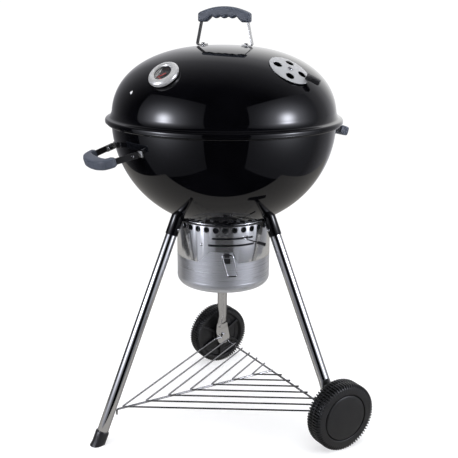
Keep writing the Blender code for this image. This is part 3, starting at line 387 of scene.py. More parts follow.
@dataclass(frozen=True)
class Dome:
    """Quarter superellipse (r / radius)^power + (z / depth)^power = 1 turned about Z."""

    radius: float
    depth: float
    power: float

    def line(self, low: float, high: float, count: int, wall: float = 0.0) -> Array:
        """Points r = a cos(t)^(2/n), z = b sin(t)^(2/n) from one t to another in degrees, less a wall."""
        t = np.radians(np.linspace(low, high, count))
        return np.stack([(self.radius - wall) * np.maximum(np.cos(t), 0.0) ** (2.0 / self.power),
                         (self.depth - wall) * np.maximum(np.sin(t), 0.0) ** (2.0 / self.power)], axis=-1)

    def height(self, r: Array) -> Array:
        """z = b (1 - (r / a)^n)^(1/n)."""
        return self.depth * np.maximum(1.0 - (r / self.radius) ** self.power, 0.0) ** (1.0 / self.power)

    def angle(self, z: float) -> float:
        """The parameter in degrees at a height: asin((z / b)^(n/2))."""
        return math.degrees(math.asin((z / self.depth) ** (self.power / 2.0)))


LID_DOME = Dome(0.2768, 0.1784, 2.34)
BOWL_DOME = Dome(0.277, 0.265, 2.03)


def lid_seat(azimuth: float, r: float, lift: float = 0.0) -> Array:
    """Frame on the lid's outside: Z is the gradient of the dome's equation, X is level.

    Args:
        azimuth: direction from the axis in degrees.
        r: distance from the axis.
        lift: distance off the surface.

    Returns:
        A 4x4 matrix.
    """
    z = float(LID_DOME.height(np.array(r)))
    power = LID_DOME.power - 1.0
    normal = unit(toward(azimuth, (r / LID_DOME.radius) ** power / LID_DOME.radius,
                         (z / LID_DOME.depth) ** power / LID_DOME.depth))
    return seat(toward(azimuth, r, RIM_Z + z) + normal * lift, normal, toward(azimuth + 90.0))


@dataclass(frozen=True)
class LegLine:
    """Straight centre line of a leg: distance from the axis = foot - slope * height."""

    azimuth: float
    foot: float = 0.3614
    slope: float = 0.409

    def at(self, z: Array) -> Array:
        """Points on the line at heights z."""
        t = math.radians(self.azimuth)
        r = self.foot - self.slope * np.asarray(z, float)
        return np.stack([r * math.cos(t), r * math.sin(t), np.asarray(z, float)], axis=-1)

    def frame(self, z: float) -> Array:
        """Frame on the line whose Z runs up the leg."""
        return seat(self.at(z), self.at(1.0) - self.at(0.0), toward(self.azimuth + 90.0))


# --------------------------------------------------------------------------- finishes
class Grain(Enum):
    """How a surface's fine marks run: stretch of the noise along X, Y and Z."""

    SPECKLE = (1.0, 1.0, 1.0)
    TURNED = (0.003, 0.003, 1.0)
    DRAWN = (1.0, 1.0, 0.03)
    CROSS = (0.05, 1.0, 1.0)


@dataclass(frozen=True)
class Finish:
    """One finish, whose roughness, colour and relief vary over the surface by noise."""

    name: str
    slot: str
    colour: Triple
    other: Triple
    rough: Pair
    metallic: float = 0.0
    grain: Grain = Grain.SPECKLE
    pitch: float = 0.002
    cloud: float = 0.08
    relief: float = 0.00001
    specular: float = 0.5
    transmission: float = 0.0
    edge: float = 1.0

    def noise(self, tree: bpy.types.NodeTree, stretch: Triple, pitch: float) -> bpy.types.NodeSocket:
        """Noise on Object coordinates whose cells are about one pitch across.

        Args:
            tree: node tree to add to.
            stretch: scale along X, Y and Z.
            pitch: size of a cell.

        Returns:
            The noise's value.
        """
        nodes, links = tree.nodes, tree.links
        place = nodes.new("ShaderNodeTexCoord")
        mapping = nodes.new("ShaderNodeMapping")
        mapping.inputs["Scale"].default_value = stretch
        pattern = nodes.new("ShaderNodeTexNoise")
        pattern.inputs["Scale"].default_value = 1.0 / pitch
        pattern.inputs["Detail"].default_value = 3.0
        links.new(place.outputs["Object"], mapping.inputs["Vector"])
        links.new(mapping.outputs["Vector"], pattern.inputs["Vector"])
        return pattern.outputs["Fac"]

    def material(self) -> bpy.types.Material:
        """The finish as a node material: fine noise for relief and roughness, broad noise for colour."""
        material = bpy.data.materials.new(self.name)
        material.use_nodes = True
        tree = material.node_tree
        shader = tree.nodes["Principled BSDF"]
        shader.inputs["Metallic"].default_value = self.metallic
        shader.inputs["Specular IOR Level"].default_value = self.specular
        shader.inputs["Specular Tint"].default_value = (self.edge, self.edge, self.edge, 1.0)
        shader.inputs["Transmission Weight"].default_value = self.transmission
        fine = self.noise(tree, self.grain.value, self.pitch)
        broad = self.noise(tree, Grain.SPECKLE.value, self.cloud)
        spread = tree.nodes.new("ShaderNodeMapRange")
        spread.inputs["From Min"].default_value = 0.3
        spread.inputs["From Max"].default_value = 0.7
        spread.inputs["To Min"].default_value = self.rough[0]
        spread.inputs["To Max"].default_value = self.rough[1]
        tree.links.new(fine, spread.inputs["Value"])
        tree.links.new(spread.outputs["Result"], shader.inputs["Roughness"])
        ramp = tree.nodes.new("ShaderNodeValToRGB")
        ramp.color_ramp.elements[0].position = 0.35
        ramp.color_ramp.elements[1].position = 0.65
        ramp.color_ramp.elements[0].color = (*self.colour, 1.0)
        ramp.color_ramp.elements[1].color = (*self.other, 1.0)
        tree.links.new(broad, ramp.inputs["Fac"])
        tree.links.new(ramp.outputs["Color"], shader.inputs["Base Color"])
        bump = tree.nodes.new("ShaderNodeBump")
        bump.inputs["Strength"].default_value = 0.5
        bump.inputs["Distance"].default_value = self.relief
        tree.links.new(fine, bump.inputs["Height"])
        tree.links.new(bump.outputs["Normal"], shader.inputs["Normal"])
        return material


class Coat(Enum):
    """The grill's finishes."""

    ENAMEL = Finish("porcelain_enamel", "black_enamel", (0.0009, 0.0009, 0.0013), (0.0016, 0.0016, 0.0022),
                    (0.03, 0.06), pitch=0.006, relief=0.000006)
    GRIP = Finish("moulded_grip", "grip_plastic", (0.050, 0.058, 0.076), (0.062, 0.071, 0.092),
                  (0.40, 0.54), pitch=0.0009, relief=0.00012, cloud=0.03)
    TYRE = Finish("wheel_moulding", "wheel_plastic", (0.0060, 0.0060, 0.0065), (0.0095, 0.0095, 0.010),
                  (0.34, 0.48), pitch=0.0012, relief=0.00014, cloud=0.03)
    CHROME = Finish("bright_chrome", "chrome", (0.74, 0.74, 0.75), (0.80, 0.80, 0.81), (0.07, 0.13), 1.0,
                    Grain.DRAWN, 0.0025, relief=0.000004, edge=0.12)
    SLEEVE = Finish("polished_sheet", "polished_aluminium", (0.86, 0.87, 0.88), (0.92, 0.93, 0.94),
                    (0.08, 0.15), 0.94, Grain.TURNED, 0.0011, relief=0.000008)
    POT = Finish("spun_sheet", "satin_aluminium", (0.60, 0.61, 0.64), (0.68, 0.69, 0.72), (0.25, 0.36),
                 0.80, Grain.TURNED, 0.0009, relief=0.000012)
    DISC = Finish("damper_sheet", "satin_aluminium", (0.37, 0.37, 0.38), (0.42, 0.43, 0.44),
                  (0.30, 0.42), 0.45, Grain.CROSS, 0.0008, relief=0.00002)
    STEEL = Finish("brushed_plate", "plated_steel", (0.46, 0.46, 0.46), (0.56, 0.56, 0.55), (0.20, 0.32),
                   0.85, Grain.CROSS, 0.0008, relief=0.00002)
    STUD = Finish("bright_stud", "chrome", (0.80, 0.80, 0.80), (0.86, 0.86, 0.86), (0.15, 0.25), 0.30,
                  Grain.SPECKLE, 0.0008, relief=0.000006)
    BEZEL = Finish("turned_bezel", "plated_steel", (0.52, 0.52, 0.52), (0.62, 0.62, 0.61), (0.22, 0.36),
                   0.55, Grain.SPECKLE, 0.0006, relief=0.00002)
    WIRE = Finish("plated_wire", "plated_steel", (0.52, 0.52, 0.52), (0.60, 0.60, 0.60), (0.18, 0.30),
                  1.0, Grain.SPECKLE, 0.0015, relief=0.00001, edge=0.15)
    RACK = Finish("rack_wire", "chrome", (0.40, 0.40, 0.41), (0.48, 0.48, 0.49), (0.10, 0.20), 1.0,
                  Grain.SPECKLE, 0.0015, relief=0.000006, edge=0.05)
    # Black paint on the dark parts. It also colours the left lid strap as a painted dark reflection.
    BLACK = Finish("black_paint_and_strap_reflection", "black_steel", (0.009, 0.009, 0.010), (0.014, 0.014, 0.015),
                   (0.28, 0.42), pitch=0.0012, relief=0.00003)
    DIAL = Finish("dial_print", "dial_black", (0.010, 0.010, 0.011), (0.015, 0.015, 0.016), (0.45, 0.55),
                  pitch=0.0006, relief=0.00001)
    TICKS = Finish("dial_white", "dial_black", (0.66, 0.66, 0.63), (0.72, 0.72, 0.70), (0.45, 0.55),
                   pitch=0.0006, relief=0.00001)
    NEEDLE = Finish("needle_lacquer", "needle_red", (0.50, 0.025, 0.015), (0.58, 0.035, 0.02),
                    (0.32, 0.42), pitch=0.0006, relief=0.00001)
    LENS = Finish("clear_glass", "lens_glass", (0.96, 0.97, 0.97), (0.98, 0.98, 0.98), (0.015, 0.03),
                  pitch=0.01, relief=0.000001, transmission=1.0)


# --------------------------------------------------------------------------- workshop
class Workshop:
    """Turns shapes into finished pieces that ride on the grill's bodies."""

    def __init__(self, nodes: Dict[str, bpy.types.Object]) -> None:
        """Keep the solid parts and make each finish once."""
        self.nodes = nodes
        self.materials = {coat: coat.value.material() for coat in Coat}

    def mesh(self, name: str, shape: Shape) -> bpy.types.Mesh:
        """Blender mesh of a shape, smooth but for its crisp edges.

        Args:
            name: name of the mesh.
            shape: its points and faces.

        Returns:
            The mesh.
        """
        mesh = bpy.data.meshes.new(name)
        mesh.from_pydata(shape.points.tolist(), [], shape.quads.tolist() + shape.triangles.tolist())
        mesh.validate()
        mesh.shade_smooth()
        mesh.set_sharp_from_angle(angle=SHARP)
        return mesh

    def put(self, name: str, shape: Shape, coat: Coat, body: str, stands_for: Sequence[str] = (),
            cuts: Optional[Shape] = None) -> bpy.types.Object:
        """Make a piece, cut it, finish it and let it ride on a body.

        Args:
            name: name of the piece.
            shape: its shape.
            coat: its finish.
            body: the body it moves with.
            stands_for: solid parts that it replaces.
            cuts: shape taken away from it.

        Returns:
            The piece.
        """
        piece = bpy.data.objects.new(name, self.mesh(name, shape))
        bpy.context.scene.collection.objects.link(piece)
        if cuts is not None:
            self.carve(piece, cuts)
        piece.data.materials.clear()
        piece.data.materials.append(self.materials[coat])
        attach(piece, body)
        if stands_for:
            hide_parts(*stands_for)
        LOG.info("%s: %d faces, rides on %s", name, len(piece.data.polygons), body)
        return piece

    def carve(self, piece: bpy.types.Object, cuts: Shape) -> None:
        """Take a shape away from a piece for good, so that no modifier is left on it."""
        tool = bpy.data.objects.new("tool", self.mesh("tool", cuts))
        bpy.context.scene.collection.objects.link(tool)
        modifier = piece.modifiers.new("Cut", "BOOLEAN")
        modifier.operation = "DIFFERENCE"
        modifier.object = tool
        modifier.solver = "EXACT"
        graph = bpy.context.evaluated_depsgraph_get()
        carved = bpy.data.meshes.new_from_object(piece.evaluated_get(graph))
        piece.modifiers.clear()
        piece.data = carved
        bpy.data.objects.remove(tool)
        carved.shade_smooth()
        carved.set_sharp_from_angle(angle=SHARP)

    def dress(self, name: str, coat: Coat) -> None:
        """Give a solid part that already has the right shape its detailed finish."""
        materials = self.nodes[name].data.materials
        materials.clear()
        materials.append(self.materials[coat])
        LOG.info("%s: dressed in %s", name, coat.value.name)


def drill(matrix: Array, radius: float, reach: float = 0.02, sides: int = 32) -> Shape:
    """Round cutter along a frame's Z, reach long each way."""
    profile = np.array([(0, reach), (radius, reach), (radius, -reach), (0, -reach)])
    return revolved(profile, sides).placed(matrix)


def damper_holes(place: Array, sides: int = 32) -> List[Shape]:
    """The four cutters of the damper's holes, a quarter turn apart about a frame's Z."""
    return [drill(shifted(spun(place, 47.0 + 90.0 * k), 0.0305), 0.0104, sides=sides) for k in range(4)]


# --------------------------------------------------------------------------- lid
@dataclass(frozen=True)
class Lid:
    """Domed lid with its flared edge."""

    wall: float = 0.0015
    flare: Tuple[Pair, ...] = ((0.2786, 0.0150), (0.2815, 0.0098), (0.2862, 0.0076), (0.2906, 0.0060),
                               (0.2925, 0.0028), (0.2925, -0.0036), (0.2911, -0.0036),
                               (0.2908, 0.0004), (0.2835, 0.0008), (0.2776, 0.0120))
    hook: Pair = (-84.7, 0.259)

    def build(self, shop: Workshop) -> None:
        """Turn the lid's profile, cut its vents and fixing holes, and hang its inner hook."""
        low = LID_DOME.angle(0.022)
        outside = LID_DOME.line(90.0, low, 72)
        inside = LID_DOME.line(low, 90.0, 48, self.wall)
        edge = softened(np.vstack([outside[-1:], self.flare, inside[:1]]), 0.0022)
        profile = np.vstack([outside[:-1], edge, inside[1:]])
        profile[[0, -1], 0] = 0.0
        shape = revolved(profile + (0.0, RIM_Z), 224)
        damper = lid_seat(*DAMPER_AT)
        cuts = damper_holes(damper)
        cuts += [drill(damper, 0.0029), drill(lid_seat(*THERMOMETER_AT), 0.0045)]
        cuts.append(drill(lid_seat(*self.hook), 0.0027))
        cuts += [drill(lid_seat(HANDLE_AZIMUTH + turn, HANDLE_FOOT), 0.0029) for turn in (0, 180)]
        shop.put("lid_dome", shape, Coat.ENAMEL, "lid", ["lid_shell"], together(cuts))
        shop.dress("lid_hook", Coat.STEEL)
        rivet = softened([(0, 0.0028), (0.0030, 0.0024), (0.0046, 0.0004), (0.0023, 0.0004),
                          (0.0023, -0.0073), (0.0040, -0.0073), (0.0040, -0.0090), (0, -0.0090)], 0.0012)
        shop.put("hook_rivet", revolved(rivet, 32).placed(lid_seat(*self.hook)), Coat.STUD, "lid",
                 ["lid_hook_rivet"])


@dataclass(frozen=True)
class LidHandle:
    """Arched grip on two strap arms."""

    azimuth: float = HANDLE_AZIMUTH
    half: float = 0.0655
    top: float = 1.0665
    drop: float = 0.0155
    low: float = 1.0290
    wave: float = 0.0020
    wave_pitch: float = 0.0205
    width: float = 0.0240
    underside: float = 1.0400
    shoulder_from: float = 0.0330
    shoulder_run: float = 0.0150
    tip_run: float = 0.0060
    squareness: float = 4.2
    strap_width: float = 0.0170
    strap_thick: float = 0.0026
    foot_at: float = HANDLE_FOOT
    bend_at: float = 0.0705
    high_at: float = 0.0570

    def plane(self, hand: float) -> Array:
        """Frame in the handle's upright plane: X outward along the handle, Y up."""
        outward = toward(self.azimuth if hand > 0 else self.azimuth - 180.0)
        return seat(np.zeros(3), np.cross(outward, UP), outward)

    def grip(self) -> Shape:
        """Grip as a square-shouldered section at each x between its top and underside.

        The top is z = top - drop (x / half)^2.  The underside is level but for a cosine wave, and it
        steps down to the ends by a smooth ramp.  The width narrows a little at both ends.
        """
        inner = self.half - 0.0006
        x = np.concatenate([[-self.half], np.linspace(-inner, inner, 141), [self.half]])
        ends = np.clip((np.abs(x) - self.shoulder_from) / self.shoulder_run, 0.0, 1.0)
        shoulder = ends ** 2 * (3 - 2 * ends)
        under = self.underside - self.wave * np.cos(2 * np.pi * x / self.wave_pitch) * (1 - shoulder)
        under = under * (1 - shoulder) + (self.low + 0.0002) * shoulder
        over = self.top - self.drop * (x / self.half) ** 2
        tip = np.clip((self.half - np.abs(x)) / self.tip_run, 0.0, 1.0)
        shrink = np.sqrt(1 - (1 - tip) ** 2)
        middle, half = (over + under) / 2, (over - under) / 2 * (0.86 + 0.14 * shrink)
        wide = self.width / 2 * (0.72 + 0.28 * shrink)
        loop = ring_section(1.0, 1.0, self.squareness, 40)
        grid = np.stack([np.repeat(x[:, None], 40, 1), middle[:, None] + half[:, None] * loop[None, :, 1],
                         wide[:, None] * loop[None, :, 0]], axis=-1)
        return skin(grid)

    def arm(self) -> Shape:
        """Strap from its screwed foot round the bend and up into the grip."""
        foot = RIM_Z + float(LID_DOME.height(np.array(self.foot_at)))
        bend = RIM_Z + float(LID_DOME.height(np.array(self.bend_at)))
        lift = self.strap_thick / 2 + 0.0003
        line = [(self.foot_at - 0.009, foot + lift + 0.0012, 0),
                (self.bend_at - 0.003, bend + lift + 0.0006, 0),
                (self.bend_at, bend + lift + 0.0045, 0), (self.high_at, self.low + 0.0135, 0)]
        section = ring_section(self.strap_width / 2, self.strap_thick / 2, 7.0, 28)
        return carried(softened(line, 0.006, steps=8), section[:, ::-1], hint=UP)

    def build(self, shop: Workshop) -> None:
        """Place the arms, their screws and the grip."""
        screw = softened([(0, 0.0074), (0.0040, 0.0068), (0.0054, 0.0050), (0.0054, 0.0042), (0.0025, 0.0042),
                          (0.0025, -0.0042), (0.0050, -0.0042), (0.0050, -0.0066), (0, -0.0066)], 0.0009)
        for hand, label in ((-1.0, "left"), (1.0, "right")):
            # Painted reflection: the left strap is the same steel as the right one, coloured black to stand
            # in for the dark it reflects.
            coat = Coat.BLACK if hand < 0 else Coat.STEEL
            shop.put(f"handle_strap_{label}", self.arm().placed(self.plane(hand)), coat, "lid",
                     [f"lid_handle_arm_{label}"])
            spot = lid_seat(self.azimuth if hand > 0 else self.azimuth - 180.0, self.foot_at)
            slot = box((0.0075, 0.0011, 0.0024), 0.0002).placed(shifted(spot, z=0.0074))
            shop.put(f"handle_screw_{label}", revolved(screw, 40).placed(spot), Coat.CHROME, "lid",
                     [f"lid_handle_screw_{label}"], slot)
        shop.put("handle_grip", self.grip().placed(self.plane(1.0)), Coat.GRIP, "lid", ["lid_handle_grip"])


@dataclass(frozen=True)
class Damper:
    """Crowned damper disc with four holes, a tab grip and a rivet."""

    radius: float = 0.050
    crown: float = 0.30
    thick: float = 0.0011

    def build(self, shop: Workshop) -> None:
        """Turn the disc z = crown-fall below its middle, drill it, and set its grip and rivet."""
        place = lid_seat(*DAMPER_AT, 0.0016)
        r = np.linspace(0.0, self.radius, 20)
        fall = self.crown - np.sqrt(self.crown ** 2 - r ** 2)
        over, under = np.stack([r, self.thick - fall], -1), np.stack([r, -fall], -1)[::-1]
        cuts = damper_holes(place, 48)
        cuts.append(drill(place, 0.0028))
        shop.put("damper_disc", revolved(np.vstack([over, under]), 128).placed(place), Coat.DISC, "damper",
                 ["lid_damper_disc"], together(cuts))
        tab = spun(place, -58.0)
        collar = box((0.0130, 0.0205, 0.0095), 0.0016).placed(shifted(tab, 0.0465, z=0.0050))
        handle = box((0.0290, 0.0165, 0.0110), 0.0024).placed(shifted(tab, 0.0602, z=0.0056))
        shop.put("damper_grip", together([collar, handle]), Coat.BLACK, "damper", ["damper_tab_grip"])
        rivet = softened([(0, 0.0064), (0.0034, 0.0060), (0.0058, 0.0042), (0.0060, 0.0030), (0.0025, 0.0030),
                          (0.0025, -0.0034), (0.0050, -0.0034), (0.0050, -0.0052), (0, -0.0052)], 0.001)
        shop.put("damper_pivot", revolved(rivet, 40).placed(lid_seat(*DAMPER_AT)), Coat.CHROME,
                 "lid", ["damper_rivet"])


@dataclass(frozen=True)
class Thermometer:
    """Dial thermometer with a wide bezel."""

    radius: float = 0.037
    dial: float = 0.0212
    sweep: float = 240.0
    start: float = -210.0
    marks: int = 25

    def mark(self, azimuth: float, low: float, high: float, width: float) -> Shape:
        """One raised mark on the dial between two radii."""
        block = box((high - low, width, 0.00022), 0.00005)
        return block.placed(shifted(about_axis(azimuth), (low + high) / 2, z=0.0042))

    def build(self, shop: Workshop) -> None:
        """Turn the case, dial and lens, and lay out the dial's marks."""
        place = lid_seat(*THERMOMETER_AT, 0.0004)
        case = softened([(self.dial, 0.0112), (0.0232, 0.0134), (0.0275, 0.0142), (0.0325, 0.0130),
                         (0.0360, 0.0095), (self.radius, 0.0050), (0.0345, 0.0), (0.0047, 0.0),
                         (0.0047, 0.0020), (0.0270, 0.0020), (0.0270, 0.0108), (self.dial, 0.0108)],
                        0.0010, closed=True)
        shop.put("thermometer_bezel", revolved(case, 112, closed=True).placed(place), Coat.BEZEL, "lid",
                 ["thermometer_case"])
        face = [(0.0012, 0.0040), (0.0265, 0.0040), (0.0265, 0.0024), (0.0012, 0.0024)]
        shop.put("thermometer_face", revolved(np.array(face), 96, closed=True).placed(place), Coat.DIAL,
                 "lid", ["thermometer_dial"])
        angles = self.start + self.sweep * np.arange(self.marks) / (self.marks - 1)
        light = [self.mark(float(a), 0.0150 if k % 4 == 0 else 0.0166, 0.0188,
                           0.0009 if k % 4 == 0 else 0.0004)
                 for k, a in enumerate(angles)]
        shop.put("dial_marks", together(light).placed(place), Coat.TICKS, "lid")
        t = np.radians(np.linspace(self.start + 70.0, self.start + 165.0, 40))
        band = np.stack([np.cos(t), np.sin(t), np.zeros_like(t)], -1)
        rows = np.stack([band * 0.0108, band * 0.0130])
        zone = slab(rows + (0, 0, 0.00435), rows + (0, 0, 0.00410))
        shop.put("dial_zone", zone.placed(place), Coat.NEEDLE, "lid")
        glass = softened([(0, 0.0104), (0.0265, 0.0104), (0.0265, 0.0090), (0, 0.0090)], 0.0003)
        shop.put("thermometer_glass", revolved(glass, 96).placed(place), Coat.LENS, "lid",
                 ["thermometer_lens"])
        stem = softened([(0, -0.0010), (0.0040, -0.0010), (0.0040, -0.0120), (0.0030, -0.0140),
                         (0.0030, -0.0600), (0, -0.0620)], 0.0008)
        shop.put("thermometer_stem", revolved(stem, 40).placed(place), Coat.STEEL, "lid",
                 ["thermometer_probe"])
        shop.dress("thermometer_needle", Coat.NEEDLE)


# --------------------------------------------------------------------------- bowl
@dataclass(frozen=True)
class Bowl:
    """Bowl with a rolled rim, bottom vents and tabs for the cooking grate."""

    wall: float = 0.0015
    bead: float = 0.005
    bead_at: float = 0.2835
    vents: Triple = (33.0, 153.0, 273.0)
    vent_end: float = 0.088
    vent_half: float = 0.011
    vent_span: float = 0.13

    def build(self, shop: Workshop) -> None:
        """Turn the bowl as one closed wall, cut its vents and shaft hole, and add the grate tabs."""
        low = BOWL_DOME.angle(0.012)
        outside = BOWL_DOME.line(low, 90.0, 80) * (1, -1)
        inside = BOWL_DOME.line(90.0, low, 60, self.wall) * (1, -1)
        t = np.radians(np.linspace(125.0, -75.0, 22))
        roll = np.stack([self.bead_at + self.bead * np.cos(t), -self.bead + self.bead * np.sin(t)], -1)
        mouth = np.array([[BOWL_DOME.radius - self.wall, -0.0035]])
        outside[-1, 0] = inside[0, 0] = 0.00565
        profile = np.vstack([roll, outside, inside, mouth]) + (0.0, RIM_Z)
        cuts = []
        for azimuth in self.vents:
            t = np.radians(np.linspace(-90.0, 90.0, 14))
            half = np.stack([self.vent_end + self.vent_half * np.cos(t), self.vent_half * np.sin(t)], -1)
            loop = np.vstack([half, (self.vent_span, 0.0) - half])
            grid = np.stack([np.column_stack([loop, np.full(len(loop), z)]) for z in (0.50, 0.58)])
            cuts.append(skin(grid).placed(about_axis(azimuth)))
        shop.put("bowl_body", revolved(profile, 224, closed=True), Coat.ENAMEL, "kettle", ["bowl_shell"],
                 together(cuts))
        tabs = [box((0.0205, 0.018, 0.002), 0.0005).placed(
            shifted(about_axis(azimuth), 0.26495, z=0.7708))
                for azimuth in (45.0, 135.0, 225.0, 315.0)]
        shop.put("grate_tabs", together(tabs), Coat.ENAMEL, "kettle")


@dataclass(frozen=True)
class SideHandles:
    """Two bowed grips on strap arms, each arm bolted to a bracket on the bowl."""

    thick: float = 0.003
    bolt_along: float = 0.020
    tilt: float = 17.0
    reach: float = 0.3290
    front_z: float = 0.7235
    rear_raise: float = 0.0300
    rear_inset: float = 0.0042

    def raised(self, side: float) -> float:
        """How much higher the handle of a side sits than the front one."""
        return self.rear_raise if side > 0 else 0.0

    def root(self, side: float, hand: float) -> Array:
        """Where an arm meets the bowl."""
        inset = self.rear_inset if side > 0 else 0.0
        return np.array([hand * 0.074, side * (0.2610 + inset), 0.7415 + self.raised(side)])

    def arm_seat(self, side: float, hand: float, along: float) -> Array:
        """Frame on an arm's centre line: X outward, Z across the strap's width."""
        at_bowl = self.root(side, hand)
        at_grip = np.array([hand * 0.0565, side * self.reach, self.front_z + self.raised(side)])
        outward = unit(at_grip - at_bowl)
        return seat(at_bowl + outward * along, np.array(UP) - outward * outward[2], outward)

    def grip(self, side: float) -> Shape:
        """C-shaped grip: a squarish section carried along a bowed line, fuller in the middle."""
        half = [(0.0568, 0.0120), (0.0572, 0.0020), (0.0500, -0.0110), (0.0280, -0.0172)]
        bow = half + [(0.0, -0.0190)] + [(-x, y) for x, y in half[::-1]]
        line = softened([(x, y - self.reach, 0.0) for x, y in bow], 0.006, steps=9)
        share = np.abs(line[:, 0]) / 0.0572
        thick = 0.0140 - 0.0050 * share ** 3
        tall = np.full(len(line), 0.0118)
        unit_loop = ring_section(1.0, 1.0, 4.4, 40)
        run = np.linspace(0.0, 1.0, len(line))
        blunt = np.where((run == 0) | (run == 1), 0.80, 1.0)
        loops = np.stack([unit_loop[None, :, 0] * (thick * blunt)[:, None],
                          unit_loop[None, :, 1] * (tall * blunt)[:, None]], -1)
        shape = carried(line, loops)
        turn = np.array(Matrix.Rotation(math.radians(self.tilt), 4, "X"))
        high = self.front_z + self.raised(side)
        place = shifted(shifted(np.eye(4), y=-self.reach, z=high) @ turn, y=self.reach)
        return shape.placed((about_axis(180.0) if side > 0 else np.eye(4)) @ place)

    def build(self, shop: Workshop) -> None:
        """Place the grips, the brackets on the bowl and the bolts; the solid arms are dressed."""
        bolt = softened([(0, 0.0090), (0.0044, 0.0082), (0.0062, 0.0066), (0.0062, 0.0051), (0.0028, 0.0051),
                         (0.0028, -0.0018), (0.0036, -0.0018), (0.0034, -0.0024), (0, -0.0026)], 0.0009)
        for side, label in ((-1.0, "front"), (1.0, "rear")):
            shop.put(f"grip_{label}", self.grip(side), Coat.GRIP, "kettle", [f"side_grip_{label}"])
            for hand, end in ((-1.0, "left"), (1.0, "right")):
                shop.dress(f"side_arm_{label}_{end}", Coat.BLACK)
                spot = self.arm_seat(side, hand, self.bolt_along)
                aside = side * hand * (self.thick + 0.0003)
                ear = box((0.026, self.thick, 0.015), 0.0006).placed(
                    shifted(self.arm_seat(side, hand, 0.016), y=aside))
                root = self.root(side, hand)
                azimuth = math.degrees(math.atan2(root[1], root[0]))
                share = 1 - ((RIM_Z - root[2]) / BOWL_DOME.depth) ** BOWL_DOME.power
                r = BOWL_DOME.radius * share ** (1 / BOWL_DOME.power)
                foot = box((0.0170, 0.0140, 0.0045), 0.0008).placed(seat(
                    toward(azimuth, r + 0.0010, root[2]), toward(azimuth, 1.0, -0.17), toward(azimuth + 90)))
                shop.put(f"ear_{label}_{end}", ear, Coat.STEEL if hand < 0 else Coat.BLACK, "kettle")
                shop.put(f"ear_foot_{label}_{end}", foot, Coat.STEEL, "kettle")
                inner = spot[:3, 1] * (side * hand)
                place = seat(spot[:3, 3], inner, np.array(UP))
                shop.put(f"bolt_{label}_{end}", revolved(bolt, 32).placed(place),
                         Coat.CHROME, "kettle", [f"side_bolt_{label}_{end}"])


